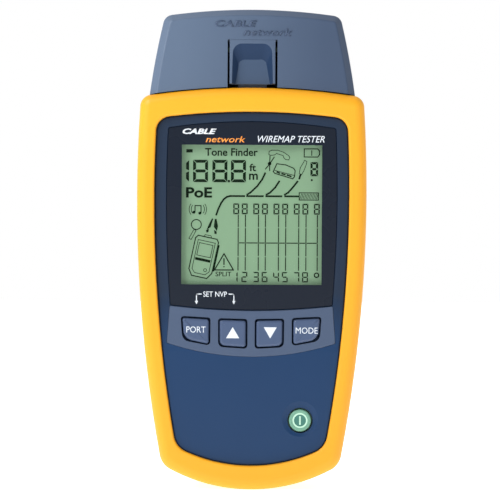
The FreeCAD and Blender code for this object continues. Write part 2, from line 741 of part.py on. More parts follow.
def hex_nut(x, y, z0, z1, flats):
    """A thin hexagonal nut round a connector's thread."""
    radius = flats / 2 / math.cos(math.pi / 6)
    points = [
        V(x + radius * math.cos(math.pi / 3 * i), y + radius * math.sin(math.pi / 3 * i), z0)
        for i in range(7)
    ]
    nut = Part.Face(Part.makePolygon(points)).extrude(V(0, 0, z1 - z0))
    return cut(nut, rod_z(COAX_NECK + 0.02, x, y, z0 - 1, z1 + 1))


def board_parts():
    """Chips, capacitors and sounder on the back of the board, key pads on its front."""
    back = BOARD_REAR_Y
    chips = Part.makeCompound(
        [
            box(-21, -9, back, back + 1.6, 80, 92),
            box(6, 16, back, back + 1.4, 84, 94),
            box(-3, 3, back, back + 1.2, 98, 103),
            box(10, 22, back, back + 1.8, 98, 106),
            box(-24, -18, back, back + 1.2, 60, 66),
        ]
    )
    capacitors = Part.makeCompound([rod_y(2.5, x, 76, back, back + 3.4) for x in (-6, 1, 8)])
    sounder = cut(rod_y(6.0, -2, 112, back, back + 4.2), rod_y(1.0, -2, 112, back + 3.2, back + 5))
    pads = Part.makeCompound(
        [rod_y(1.9, x, z, BOARD_FRONT_Y - PAD_THICK, BOARD_FRONT_Y) for x, z in key_places().values()]
    )
    return {"board_chips": chips, "board_capacitors": capacitors, "sounder": sounder, "key_pads": pads}


# ---- batteries -----------------------------------------------------------------------------
def cell(x, low, nub_up):
    """An AA cell standing along Z."""
    can_low = low if nub_up else low + NUB_LENGTH
    can = rod_z(CELL_RADIUS, x, CELL_Y, can_low, can_low + CELL_LENGTH - NUB_LENGTH)
    can = can.makeFillet(0.6, [e for e in can.Edges if e.BoundBox.ZLength < 1e-6])
    nub_low = low + CELL_LENGTH - NUB_LENGTH - 0.3 if nub_up else low
    nub = rod_z(NUB_RADIUS, x, CELL_Y, nub_low, nub_low + NUB_LENGTH + 0.3)
    return joined([can, nub])


def cell_spring(x, low, high):
    """The coil spring against a cell's flat end."""
    wire_r = 0.35
    height = high - low - 2 * wire_r
    helix = Part.makeHelix(height / SPRING_TURNS, height, 3.6)
    section = Part.Wire(Part.makeCircle(wire_r, V(3.6, 0, 0), V(0, 1, 0)))
    spring = Part.Wire(helix).makePipeShell([section], True, True)
    spring.translate(V(x, CELL_Y, low + wire_r))
    return spring


def battery_parts():
    """Two cells, their springs and their contact plates."""
    low, high = BAY_LOW + CONTACT_THICK, BAY_HIGH - CONTACT_THICK
    spring_room = high - low - CELL_LENGTH
    y0, y1 = CELL_Y - 5, CELL_Y + 4
    bridge = box(-CELL_X - 5, CELL_X + 5, y0, y1, BAY_LOW, low)
    tops = [box(s * CELL_X - 5, s * CELL_X + 5, y0, y1, high, BAY_HIGH) for s in (-1, 1)]
    return {
        "battery_left": cell(-CELL_X, low + spring_room, True),
        "battery_right": cell(CELL_X, low, False),
        "battery_springs": Part.makeCompound(
            [
                cell_spring(-CELL_X, low, low + spring_room),
                cell_spring(CELL_X, high - spring_room, high),
            ]
        ),
        "battery_contacts": Part.makeCompound([bridge, *tops]),
    }


def battery_door():
    """The door: a flat plate that turns on two moulded pins at its foot."""
    pivot_y = REAR_Y - DOOR_THICK / 2
    inner_y = REAR_Y - DOOR_THICK
    plate = box(-DOOR_HALF, DOOR_HALF, inner_y, REAR_Y, DOOR_PIVOT_Z, DOOR_TOP)
    plate = fillet_corners(plate, [(lambda x, z: z > 60, 2.8)])
    foot = rod_x(DOOR_THICK / 2, pivot_y, DOOR_PIVOT_Z, -DOOR_HALF, DOOR_HALF)
    pins = rod_x(DOOR_PIN_R, pivot_y, DOOR_PIVOT_Z, -DOOR_HALF - 1.5, DOOR_HALF + 1.5)
    door = joined([plate, foot, pins])
    grips = [
        rod_x(0.45, REAR_Y + 0.15, 20.0 + 2.2 * i, -9 + 0.8 * i, 9 - 0.8 * i)
        for i in range(5)
    ]
    return cut(
        door, rod_y(1.65, 0, DOOR_SCREW_Z, 14, 19), rod_y(3.0, 0, DOOR_SCREW_Z, 16.8, 19), *grips
    )


def door_screw():
    """Captive screw with a coin slot."""
    head = rod_y(2.9, 0, DOOR_SCREW_Z, 16.8, 17.9)
    head = head.makeFillet(0.25, rim_edges(head, 17.9))
    shank = rod_y(1.5, 0, DOOR_SCREW_Z, 12.0, 16.8)
    slot = box(-3, 3, 17.3, 18.5, DOOR_SCREW_Z - 0.5, DOOR_SCREW_Z + 0.5)
    return cut(joined([head, shank]), slot)


def door_insert():
    """Brass insert that the door screw holds in."""
    return ring_y(2.3, 1.8, 0, DOOR_SCREW_Z, 10.4, 15.4)


def case_screws():
    """Four screws that close the casing."""
    screws = []
    for x, z in CASE_SCREWS:
        head = rod_y(2.3, x, z, 5.0, 6.8)
        shank = rod_y(1.13, x, z, -9.0, 5.0)
        recess = joined(
            [
                box(x - 1.5, x + 1.5, 5.9, 7, z - 0.3, z + 0.3),
                box(x - 0.3, x + 0.3, 5.9, 7, z - 1.5, z + 1.5),
            ]
        )
        screws.append(cut(joined([head, shank]), recess))
    return Part.makeCompound(screws)


# ---- adapter -------------------------------------------------------------------------------
def adapter_front_y(z):
    """Depth of the adapter's front face at a height; the rear is the same with its sign changed."""
    share = (z - 133.0) / (ADAPTER_TOP - 133.0)
    return -(ADAPTER_FOOT_Y + (ADAPTER_HEAD_Y - ADAPTER_FOOT_Y) * share)


def adapter_prism(inset, corner):
    """The adapter's outline as a prism along Y, inset all round but at its foot."""
    foot_z = top_z(ADAPTER_FOOT_HALF) + DOCK_GAP
    foot = (ADAPTER_FOOT_HALF - inset, foot_z)
    mid = (ADAPTER_MID[0] - inset, ADAPTER_MID[1])
    head = (ADAPTER_HEAD[0] - inset, ADAPTER_HEAD[1] - inset)
    wire = arc_loop(
        [
            ((-foot[0], foot[1]), (0, BODY_TOP + DOCK_GAP)),
            (foot, mid),
            (head, (0, ADAPTER_TOP - inset)),
            ((-head[0], head[1]), (-mid[0], mid[1])),
        ],
        -20,
    )
    solid = Part.Face(wire).extrude(V(0, 40, 0))
    return fillet_corners(solid, [(lambda x, z: z > 150, corner)])


def depth_wedge(inset):
    """A block between the adapter's sloping front and rear faces."""
    low, high = 120.0, 165.0
    front_low, front_high = adapter_front_y(low) + inset, adapter_front_y(high) + inset
    profile = Part.makePolygon(
        [
            V(-50, front_low, low), V(-50, -front_low, low), V(-50, -front_high, high),
            V(-50, front_high, high), V(-50, front_low, low),
        ]
    )
    return Part.Face(profile).extrude(V(100, 0, 0))


def adapter_envelope():
    """Outside of the adapter: bevelled front and rear rims with softened edges."""
    solid = adapter_prism(0, ADAPTER_CORNER).common(depth_wedge(0))
    def rims(shape, shortest):
        return [
            edge for edge in shape.Edges
            if abs(edge.BoundBox.Center.y) > 9
            and edge.BoundBox.Center.z > 136
            and edge.Length > shortest
        ]
    solid = solid.makeChamfer(ADAPTER_BEVEL, ADAPTER_BEVEL * 0.8, rims(solid, 2.0))
    return solid.makeFillet(0.9, rims(solid, 1.0))


def tenon(inset, low, high):
    """The part of the adapter that plugs into the tester's mouth."""
    clear = TENON_CLEAR + inset
    corner = max(MOUTH_CORNER - clear, 0.8)
    return rounded_block(MOUTH_HALF_X - clear, MOUTH_HALF_Y - clear, corner, low, high)


def pivot_y():
    """Depth of the latch's pivot line, in the middle of the adapter's wall."""
    return adapter_front_y(TAB_PIVOT_Z) + TAB_PIVOT_R


def latch_hole():
    """Opening for the latch tab in the adapter's front shell."""
    half = TAB_HALF + TAB_SLOT
    slot = box(-half, half, -17, -9, 130, TAB_PIVOT_Z)
    round_end = rod_x(TAB_PIVOT_R + 0.08, pivot_y(), TAB_PIVOT_Z, -half, half)
    return [slot, round_end]


def adapter_shell():
    """Both halves of the adapter's casing in one piece, before it is split."""
    envelope = joined([adapter_envelope(), tenon(0, TENON_LOW, ADAPTER_CAVITY_LOW)])
    hollow = adapter_prism(ADAPTER_WALL, 1.2).common(depth_wedge(ADAPTER_WALL))
    hollow = hollow.common(box(-50, 50, -20, 20, ADAPTER_CAVITY_LOW, 170))
    core = tenon(TENON_WALL, TENON_LOW - 1, ADAPTER_CAVITY_LOW + 1)
    reach = TAB_HALF + TAB_SLOT
    notch = box(-reach, reach, -13, -8, TENON_LOW - 1, ADAPTER_CAVITY_LOW + 1)
    shell = cut(envelope, hollow, core, notch)
    rests = []
    for x in (-26.4, 26.4):
        rests.append(ring_y(2.4, 1.0, x, 150.6, -12.9, 12.9))
    ribs = [box(s * 26.7 - 1.1, s * 26.7 + 1.1, -13.3, 13.3, 143.6, 145.9) for s in (-1, 1)]
    return joined([shell, *rests, *ribs])


def adapter_shells():
    """Front and rear halves of the adapter's casing."""
    whole = adapter_shell()
    front = cut(whole.common(box(-50, 50, -20, 0, 120, 170)), *latch_hole())
    wells = []
    for x in (-26.4, 26.4):
        wells += [rod_y(2.0, x, 150.6, 9.6, 20), rod_y(1.25, x, 150.6, -0.5, 20)]
    rear = cut(whole.common(box(-50, 50, 0, 20, 120, 170)), *wells)
    return front, rear


def latch_tab():
    """Thumb tab that flexes at its top, with a tongue and barb at its foot."""
    half = TAB_HALF
    profile = Part.makePolygon(
        [
            V(-half, adapter_front_y(TAB_LOW), TAB_LOW),
            V(-half, adapter_front_y(TAB_PIVOT_Z), TAB_PIVOT_Z),
            V(-half, adapter_front_y(TAB_PIVOT_Z) + 2 * TAB_PIVOT_R, TAB_PIVOT_Z),
            V(-half, adapter_front_y(145.5) + TAB_THICK, 145.5),
            V(-half, adapter_front_y(TAB_LOW) + TAB_THICK, TAB_LOW),
            V(-half, adapter_front_y(TAB_LOW), TAB_LOW),
        ]
    )
    plate = Part.Face(profile).extrude(V(2 * half, 0, 0))
    root = rod_x(TAB_PIVOT_R, pivot_y(), TAB_PIVOT_Z, -half, half)
    neck = box(-TONGUE_HALF, TONGUE_HALF, -13.6, -10.2, TAB_LOW, 136.6)
    tongue = box(-TONGUE_HALF, TONGUE_HALF, -11.4, -10.2, 128.4, 136.6)
    barb = Part.Face(
        Part.makePolygon(
            [
                V(-TONGUE_HALF, -11.0, 128.4),
                V(-TONGUE_HALF, -11.4, 128.4),
                V(-TONGUE_HALF, -11.85, 129.6),
                V(-TONGUE_HALF, -11.85, 130.0),
                V(-TONGUE_HALF, -11.0, 130.0),
                V(-TONGUE_HALF, -11.0, 128.4),
            ]
        )
    ).extrude(V(2 * TONGUE_HALF, 0, 0))
    return cut(joined([plate, root, neck, tongue, barb]), thumb_scoop())


def thumb_scoop():
    """The sloping hollow that takes the thumb, open at the tab's foot."""
    def outline(half_top, half_mid, half_low, z_top, z_mid, lift):
        right = [(half_top, z_top), (half_mid, z_mid), (half_low, 132.0)]
        points = [(-x, z) for x, z in reversed(right)] + right
        return Part.makePolygon([V(x, adapter_front_y(z) + lift, z) for x, z in points + points[:1]])
    outer = outline(5.0, 6.4, 6.9, 148.6, 144.8, -0.4)
    inner = outline(4.2, 4.9, 5.6, 143.4, 142.0, 1.35)
    return Part.makeLoft([outer, inner], True, True)


def adapter_panel():
    """End plate of the adapter with its socket, its coax well and the pocket for the tester's coax."""
    plate = tenon(TENON_WALL + 0.03, TENON_LOW, TENON_LOW + ADAPTER_PANEL_THICK)
    half = JACK_WIDTH / 2
    tools = [
        box(JACK_X - half, JACK_X + half, -6.75, 6.75, 120, 140),
        rod_z(7.0, ADAPTER_COAX_X, ADAPTER_COAX_Y, 120, 140),
        rod_z(6.5, COAX_X, COAX_Y, 120, 140),
        box(-TAB_HALF, TAB_HALF, -13, -7.9, 120, 140),
    ]
    return cut(plate, *tools)


def adapter_board():
    """The adapter's board, lying across it above the sockets."""
    return box(-27.6, 27.6, -9.5, 9.5, ADAPTER_BOARD_LOW, ADAPTER_BOARD_LOW + BOARD_THICK)


def adapter_screws():
    """Two screws that close the adapter."""
    screws = []
    for x in (-26.4, 26.4):
        head = rod_y(1.8, x, 150.6, 9.6, 11.0)
        shank = rod_y(1.0, x, 150.6, -8.0, 9.6)
        slot = box(x - 1.2, x + 1.2, 10.3, 12, 150.35, 150.85)
        screws.append(cut(joined([head, shank]), slot))
    return Part.makeCompound(screws)


def adapter_resistors():
    """Wiremap resistors on the adapter's board, as one group."""
    high = ADAPTER_BOARD_LOW + BOARD_THICK
    return Part.makeCompound(
        [box(-20 + 5.2 * i, -17.2 + 5.2 * i, -2, 2, high, high + 0.7) for i in range(8)]
    )


# ---- write every piece ---------------------------------------------------------------------
def build():
    """All the pieces by node name."""
    parts = {}
    parts["front_overmould"], parts["rear_overmould"] = overmoulds(outer_body())
    parts["front_shell"] = front_shell()
    parts["rear_shell"] = rear_shell()
    parts["end_panel"] = end_panel()
    parts["rating_label"] = rear_label(0.0, 0.4)
    parts["keypad_panel"] = keypad_panel()
    parts.update(display_parts())
    for name, corners in all_key_corners().items():
        parts[name] = panel_key(corners)
    parts["power_key"] = power_key()
    for name, (x, z) in key_places().items():
        parts[name + "_pill"] = rod_y(1.8, x, z, pill_front_y(), pill_front_y() + PILL_THICK)
    parts["keypad_mat"] = keypad_mat()
    parts["main_board"] = main_board()
    parts.update(board_parts())
    parts["jack_housing"] = jack_housing(JACK_X, BOARD_REAR_Y, 1, PANEL_HIGH)
    parts["jack_contacts"] = jack_contacts(JACK_X, BOARD_REAR_Y, 1, PANEL_HIGH)
    nut_high = PANEL_HIGH + NUT_THICK
    parts["coax_connector"] = coax_connector(COAX_X, COAX_Y, 1, nut_high, 113, PANEL_LOW)
    parts["coax_insulator"] = coax_insulator(COAX_X, COAX_Y, 1, nut_high)
    parts["coax_nut"] = hex_nut(COAX_X, COAX_Y, PANEL_HIGH, nut_high, 10.6)
    parts.update(battery_parts())
    parts["battery_door"] = battery_door()
    parts["door_screw"] = door_screw()
    parts["door_insert"] = door_insert()
    parts["case_screws"] = case_screws()
    parts["adapter_front_shell"], parts["adapter_rear_shell"] = adapter_shells()
    parts["latch_tab"] = latch_tab()
    parts["adapter_end_panel"] = adapter_panel()
    parts["adapter_board"] = adapter_board()
    parts["adapter_resistors"] = adapter_resistors()
    parts["adapter_jack_housing"] = jack_housing(JACK_X, -JACK_HEIGHT / 2, -1, TENON_LOW + 0.2)
    parts["adapter_jack_contacts"] = jack_contacts(JACK_X, -JACK_HEIGHT / 2, -1, TENON_LOW + 0.2)
    coax_face = TENON_LOW + 0.6 + COAX_LENGTH
    parts["adapter_coax_connector"] = coax_connector(
        ADAPTER_COAX_X, ADAPTER_COAX_Y, -1, coax_face, coax_face, ADAPTER_BOARD_LOW
    )
    parts["adapter_coax_insulator"] = coax_insulator(ADAPTER_COAX_X, ADAPTER_COAX_Y, -1, coax_face)
    parts["adapter_screws"] = adapter_screws()
    return parts


os.makedirs("parts", exist_ok=True)
for node, shape in build().items():
    print(f"{node:26s} solids {len(shape.Solids):2d}  valid {shape.isValid()}  {shape.Volume:10.2f}")
    shape.exportStep(os.path.join("parts", node + ".step"))
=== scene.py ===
"""Hand-held network cable tester with its wiremap adapter, laid out as an add-on."""

import json
import math

import bmesh
import bpy
from bpy.props import FloatProperty, FloatVectorProperty, PointerProperty
from mathutils import Matrix, Vector

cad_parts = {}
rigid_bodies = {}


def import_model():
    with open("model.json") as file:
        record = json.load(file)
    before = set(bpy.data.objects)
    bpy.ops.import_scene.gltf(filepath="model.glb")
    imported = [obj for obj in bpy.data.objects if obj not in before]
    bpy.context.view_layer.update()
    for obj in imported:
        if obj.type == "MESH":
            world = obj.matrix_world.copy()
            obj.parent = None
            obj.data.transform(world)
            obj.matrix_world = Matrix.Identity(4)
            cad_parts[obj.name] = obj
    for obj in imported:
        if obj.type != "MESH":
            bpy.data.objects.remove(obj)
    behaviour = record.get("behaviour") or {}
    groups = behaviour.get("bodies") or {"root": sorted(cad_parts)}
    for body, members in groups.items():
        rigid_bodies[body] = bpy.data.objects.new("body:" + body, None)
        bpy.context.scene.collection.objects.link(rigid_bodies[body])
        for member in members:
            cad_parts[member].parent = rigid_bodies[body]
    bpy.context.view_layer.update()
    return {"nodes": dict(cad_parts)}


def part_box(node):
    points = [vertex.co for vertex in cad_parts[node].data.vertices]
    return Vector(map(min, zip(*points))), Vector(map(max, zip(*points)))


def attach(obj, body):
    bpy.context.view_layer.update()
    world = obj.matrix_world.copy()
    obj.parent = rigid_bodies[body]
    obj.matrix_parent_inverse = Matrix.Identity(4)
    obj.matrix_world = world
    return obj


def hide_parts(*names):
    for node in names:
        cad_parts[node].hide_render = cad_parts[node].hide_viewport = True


bl_info = {
    "name": "Network Cable Tester",
    "version": (1, 0, 0),
    "blender": (4, 5, 0),
    "location": "View3D > Sidebar > Cable Tester",
    "description": "Builds a hand-held network cable tester on its packed frame",
    "category": "Add Mesh",
}

for start_up in list(bpy.data.objects):
    bpy.data.objects.remove(start_up)
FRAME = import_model()
NODES = FRAME["nodes"]
MM = 0.001


# ---- sizes and colours -----------------------------------------------------------------------
def colour(name, description, default):
    """A colour property, as the eye sees it on a screen."""
    return FloatVectorProperty(
        name=name, description=description, default=default, subtype="COLOR_GAMMA", size=3,
        min=0, max=1,
    )


def length(name, description, millimetres):
    """A length property, given in millimetres and kept in metres."""
    return FloatProperty(
        name=name, description=description, default=millimetres * MM, subtype="DISTANCE",
        unit="LENGTH",
    )


class TesterFinish(bpy.types.PropertyGroup):
    """Colours of the tester's plastics, rubber and prints, and of the painted shade and light on
    some of them.
    """

    rim: colour("Rim", "Soft yellow overmould", (0.93, 0.645, 0.06))
    shell: colour("Casing", "Hard blue casing", (0.08, 0.21, 0.36))
    key: colour("Keys", "Caps of the four panel keys", (0.27, 0.335, 0.455))
    # Painted shade: a darker copy of the casing colour, standing in for the shade round the
    # display.
    bezel_painted_shade: colour("Bezel", "Casing round the display", (0.10, 0.165, 0.25))
    # Partly painted light: the key panel's lighter tone is partly its own greyer plastic and partly
    # painted light for the light its upward-tilted face catches.
    panel: colour("Key panel", "Trim panel round the keys", (0.275, 0.335, 0.435))
    # Painted shade: the adapter's casing runs from this lighter colour on the left to a darker one
    # on the right, standing in for the light falling off across it.
    adapter: colour("Adapter", "Left of the adapter's casing", (0.34, 0.405, 0.495))
    adapter_right_painted_shade: colour("Adapter, right", "Right of the adapter's casing", (0.25, 0.31, 0.405))
    # Painted shade: the raised lettering is a darker copy of the casing colour, standing in for the
    # shade along its moulded edges.
    lettering: colour("Raised lettering", "Moulded mark on the adapter", (0.26, 0.32, 0.42))
    overlay: colour("Display border", "Dark print on the display lens", (0.06, 0.095, 0.15))
    display: colour("Display", "Reflective back of the liquid crystal cell", (0.525, 0.645, 0.525))
    segment: colour("Segments", "Switched-on display segments", (0.03, 0.12, 0.05))
    power: colour("Power key", "Green rubber of the power key", (0.42, 0.62, 0.53))
    power_middle: colour("Power key middle", "Dished middle of the power key", (0.22, 0.46, 0.41))
    mint: colour("Power symbol", "Print on the power key", (0.72, 0.88, 0.79))
    # Painted shade: the scoop's slope and floor colours are darker copies of the adapter's casing
    # colour, standing in for the shade in the scoop.
    scoop: colour("Scoop slope", "Sloping wall of the latch's thumb scoop", (0.13, 0.21, 0.325))
    scoop_floor_painted_shade: colour("Scoop floor", "Floor of the latch's thumb scoop", (0.26, 0.325, 0.42))
    print_white: colour("White print", "Lettering on the keys and the border", (0.86, 0.89, 0.92))
    print_orange: colour("Orange print", "Second line on the border", (0.93, 0.58, 0.22))


class TesterSizes(bpy.types.PropertyGroup):
    """Sizes that aren't fixed by the casing."""

    stroke: length("Digit stroke", "Width of the large digits' segments", 1.0)
    line: length("Wire stroke", "Width of the wiremap's lines", 0.34)
    fine: length("Fine stroke", "Width of the pictograms' lines", 0.22)
    ink: length("Ink", "Thickness of printed and displayed marks", 0.03)
    thread: length("Thread pitch", "Pitch of the coax connectors' thread", 0.794)


class TesterStage(bpy.types.PropertyGroup):
    """Camera and studio."""

    lens: FloatProperty(name="Lens", description="Focal length in mm", default=180.0, min=20)
    frame_height: length("Frame height", "Height of the view at the tester's face", 165.7)
    centre_x: length("View centre X", "Middle of the view across the tester", -0.5)
    centre_z: length("View centre Z", "Middle of the view along the tester", 79.7)
    roll: FloatProperty(
        name="Roll", description="Camera roll", default=math.radians(-0.32), subtype="ANGLE"
    )
    ambient: FloatProperty(name="Ambient", description="Light from the front", default=0.4, min=0)
    behind: FloatProperty(name="Behind", description="Light from behind", default=0.95, min=0)


# ---- modelling helpers -----------------------------------------------------------------------
def deselect():
    """Leaves edit mode and lets go of everything."""
    if bpy.context.view_layer.objects.active and bpy.context.mode != "OBJECT":
        bpy.ops.object.mode_set(mode="OBJECT")
    bpy.ops.object.select_all(action="DESELECT")


def only(obj):
    """Selects one object and makes it active."""
    deselect()
    obj.select_set(True)
    bpy.context.view_layer.objects.active = obj
    return obj


def named(name):
    """Names the object that an operator has just made."""
    obj = bpy.context.view_layer.objects.active
    obj.name = name
    obj.data.name = name
    return obj


def settle(obj):
    """Puts an object's place, turn and scale into its mesh."""
    only(obj)
    bpy.ops.object.transform_apply(location=True, rotation=True, scale=True)
    return obj


def millimetres(*values):
    """A point or size in millimetres as metres."""
    return Vector(values) * MM


def block(name, low, high):
    """A box between two corners, in millimetres."""
    deselect()
    low, high = Vector(low), Vector(high)
    bpy.ops.mesh.primitive_cube_add(size=1, location=(low + high) / 2 * MM, scale=(high - low) * MM)
    return settle(named(name))


def drum(name, radius, start, end, sides=48):
    """A cylinder from one point to another, in millimetres."""
    deselect()
    start, end = Vector(start) * MM, Vector(end) * MM
    along = end - start
    bpy.ops.mesh.primitive_cylinder_add(
        vertices=sides, radius=radius * MM, depth=along.length, location=(start + end) / 2,
        rotation=along.to_track_quat("Z", "Y").to_euler(),
    )
    return settle(named(name))


def edit(obj, mode):
    """Enters edit mode in one select mode, with nothing selected."""
    only(obj)
    bpy.ops.object.mode_set(mode="EDIT")
    bpy.ops.mesh.select_mode(type=mode)
    bpy.ops.mesh.select_all(action="DESELECT")
    return bmesh.from_edit_mesh(obj.data)


def pick(obj, mode, test):
    """In edit mode, selects the verts, edges or faces that pass a test."""
    mesh = edit(obj, mode)
    items = {"VERT": mesh.verts, "EDGE": mesh.edges, "FACE": mesh.faces}[mode]
    items.ensure_lookup_table()
    count = 0
    for item in items:
        if test(item):
            item.select_set(True)
            count += 1
    mesh.select_flush_mode()
    bmesh.update_edit_mesh(obj.data)
    if not count:
        raise RuntimeError(f"{obj.name}: nothing was picked")
    return count


def leave():
    """Back to object mode."""
    bpy.ops.object.mode_set(mode="OBJECT")


FLAT = 0.995
STRAIGHT = 0.98


def facing(direction, least=0.9):
    """A test for faces that look in a direction."""
    direction = Vector(direction).normalized()
    return lambda face: face.normal.dot(direction) > least


def along(axis):
    """A test for straight edges that run along an axis."""
    axis = Vector(axis)

    def test(edge):
        span = edge.verts[1].co - edge.verts[0].co
        return span.length > 0 and abs(span.normalized().dot(axis)) > STRAIGHT

    return test


def pull(x, y, z):
    """Extrudes the selected faces by millimetres."""
    bpy.ops.mesh.extrude_region_move(TRANSFORM_OT_translate={"value": millimetres(x, y, z)})


def shift(x, y, z):
    """Moves what is selected by millimetres."""
    bpy.ops.transform.translate(value=millimetres(x, y, z))


def stretch(scale, x=0, y=0, z=0):
    """Resizes what is selected about a point in millimetres."""
    bpy.ops.transform.resize(value=scale, center_override=millimetres(x, y, z))


def inset(thickness, depth=0.0):
    """Insets the selected faces by millimetres."""
    bpy.ops.mesh.inset(thickness=thickness * MM, depth=depth * MM)


def round_off(width, segments, affect="EDGES"):
    """Bevels what is selected. The width is in millimetres."""
    bpy.ops.mesh.bevel(offset=width * MM, segments=segments, affect=affect)


def bevel_edges(obj, test, width, segments):
    """Rounds the edges that pass a test. The width is in millimetres."""
    pick(obj, "EDGE", test)
    round_off(width, segments)
    leave()


def smooth(obj, degrees):
    """Smooth shading that keeps sharp corners."""
    only(obj)
    bpy.ops.object.shade_smooth_by_angle(angle=math.radians(degrees))
    return obj


def outward(obj):
    """Merges doubles and turns the faces outwards."""
    edit(obj, "FACE")
    bpy.ops.mesh.select_all(action="SELECT")
    bpy.ops.mesh.remove_doubles(threshold=1e-7)
    bpy.ops.mesh.normals_make_consistent(inside=False)
    leave()
    return obj


def join(name, objects):
    """Joins several objects into one."""
    deselect()
    for obj in objects:
        obj.select_set(True)
    bpy.context.view_layer.objects.active = objects[0]
    if len(objects) > 1:
        bpy.ops.object.join()
    return named(name)


def copy_of(obj, name, move=(0, 0, 0)):
    """A copy with its own mesh, moved by millimetres."""
    only(obj)
    bpy.ops.object.duplicate()
    made = named(name)
    made.location = Vector(made.location) + Vector(move) * MM
    return settle(made)


def row_of(obj, steps):
    """An object and its copies at steps to the right of it, in millimetres."""
    return [obj, *(copy_of(obj, obj.name, (step, 0, 0)) for step in steps)]


def turned_copy(obj, name, centre, place):
    """A copy turned end for end about a level line through centre, and moved to place."""
    made = copy_of(obj, name)
    turn = Matrix.Rotation(math.pi, 4, "Y")
    made.matrix_world = Matrix.Translation(place) @ turn @ Matrix.Translation(-centre)
    return settle(made)


def mirrored_copy(obj, name):
    """A copy mirrored left to right, facing outwards again."""
    made = copy_of(obj, name)
    stretch((-1, 1, 1))
    return outward(settle(made))


def apply(obj, kind, **values):
    """Adds a modifier and applies it."""
    only(obj)
    modifier = obj.modifiers.new(kind.title(), kind)
    for key, value in values.items():
        setattr(modifier, key, value)
    bpy.ops.object.modifier_apply(modifier=modifier.name)
    return obj


def carve(obj, tool):
    """Cuts one object out of another and throws the cutter away."""
    apply(obj, "BOOLEAN", operation="DIFFERENCE", object=tool, solver="EXACT")
    bpy.data.objects.remove(tool)
    return obj


def lettering(name, text, x, y, z, height, width, rear=False, bold=0.0, slant=0.0):
    """Flat lettering with its lower left corner at x, z. All sizes in millimetres."""
    deselect()
    bpy.ops.object.text_add(location=(0, 0, 0))
    obj = named(name)
    obj.data.body = text
    obj.data.size = 1.0
    obj.data.offset = bold
    obj.data.shear = slant
    obj.data.resolution_u = 3
    bpy.ops.object.convert(target="MESH")
    obj = named(name)
    points = [vertex.co for vertex in obj.data.vertices]
    low = Vector([min(p[i] for p in points) for i in range(3)])
    high = Vector([max(p[i] for p in points) for i in range(3)])
    tall = height * MM / (high.y - low.y)
    wide = width * MM / (high.x - low.x)
    turn = Matrix.Rotation(math.pi / 2, 4, "X")
    if rear:
        turn = Matrix.Rotation(math.pi, 4, "Z") @ turn
    scale = Matrix.Diagonal((wide, tall, 1, 1))
    place = Matrix.Translation(millimetres(x, y, z))
    obj.matrix_world = place @ turn @ scale @ Matrix.Translation(-low)
    return settle(obj)


def thicken(obj, depth, rear=False):
    """Makes a flat mark a thin solid, towards the reader. The depth is in millimetres."""
    away = 1 if rear else -1
    mesh = edit(obj, "FACE")
    wrong = [face for face in mesh.faces if face.normal.y * away < 0]
    for face in wrong:
        face.select_set(True)
    bmesh.update_edit_mesh(obj.data)
    if wrong:
        bpy.ops.mesh.flip_normals()
    leave()
    return apply(obj, "SOLIDIFY", thickness=depth * MM, offset=1.0, use_even_offset=False)


def even_shading(obj, degrees):
    """Smooth shading whose large faces stay flat, with sharp corners kept."""
    smooth(obj, degrees)
    return apply(obj, "WEIGHTED_NORMAL", mode="FACE_AREA", weight=100, keep_sharp=True)


def lay_on(obj, y, tilt, pivot_z):
    """Moves a mark from the plane Y = 0 onto a face at y that leans by tilt about pivot_z."""
    lift = Matrix.Translation(millimetres(0, y, pivot_z))
    drop = Matrix.Translation(millimetres(0, 0, -pivot_z))
    obj.matrix_world = lift @ Matrix.Rotation(tilt, 4, "X") @ drop
    return settle(obj)


def finished(obj, material, body):
    """Gives a new piece its finish, or keeps the ones it has, and its body."""
    if material:
        wear(obj, material)
    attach(obj, body)
    return obj


# ---- marks on the face -----------------------------------------------------------------------
def stroke(name, points, width, y):
    """A flat line of a given width through points in the face's plane, in millimetres."""
    pieces = []
    for (x0, z0), (x1, z1) in zip(points, points[1:]):
        run = math.hypot(x1 - x0, z1 - z0)
        deselect()
        bpy.ops.mesh.primitive_plane_add(
            size=1, location=millimetres((x0 + x1) / 2, y, (z0 + z1) / 2),
            rotation=(math.pi / 2, -math.atan2(z1 - z0, x1 - x0), 0),
        )
        obj = named(name)
        obj.scale = ((run + width * 0.9) * MM, width * MM, 1)
        pieces.append(settle(obj))
    return join(name, pieces)


def disc(name, x, z, radius, y, sides=24):
    """A flat filled circle in the face's plane."""
    deselect()
    bpy.ops.mesh.primitive_circle_add(
        vertices=sides, radius=radius * MM, fill_type="NGON", location=millimetres(x, y, z),
        rotation=(math.pi / 2, 0, 0),
    )
    return settle(named(name))


def hoop(name, x, z, radius, width, y, start=0.0, sweep=360.0, sides=28):
    """A flat ring, or part of one, made by spinning a short line."""
    deselect()
    bpy.ops.mesh.primitive_plane_add(size=1, location=(0, 0, 0))
    obj = named(name)
    edit(obj, "VERT")
    bpy.ops.mesh.select_all(action="SELECT")
    bpy.ops.mesh.delete(type="VERT")
    mesh = bmesh.from_edit_mesh(obj.data)
    turn = math.radians(start)
    ends = [
        mesh.verts.new(millimetres(x + r * math.cos(turn), y, z + r * math.sin(turn)))
        for r in (radius - width / 2, radius + width / 2)
    ]
    edge = mesh.edges.new(ends)
    for item in (*ends, edge):
        item.select_set(True)
    bmesh.update_edit_mesh(obj.data)
    bpy.ops.mesh.spin(
        steps=sides, angle=math.radians(sweep), center=millimetres(x, y, z), axis=(0, 1, 0)
    )
    bpy.ops.mesh.select_all(action="SELECT")
    bpy.ops.mesh.remove_doubles(threshold=1e-7)
    leave()
    return settle(obj)


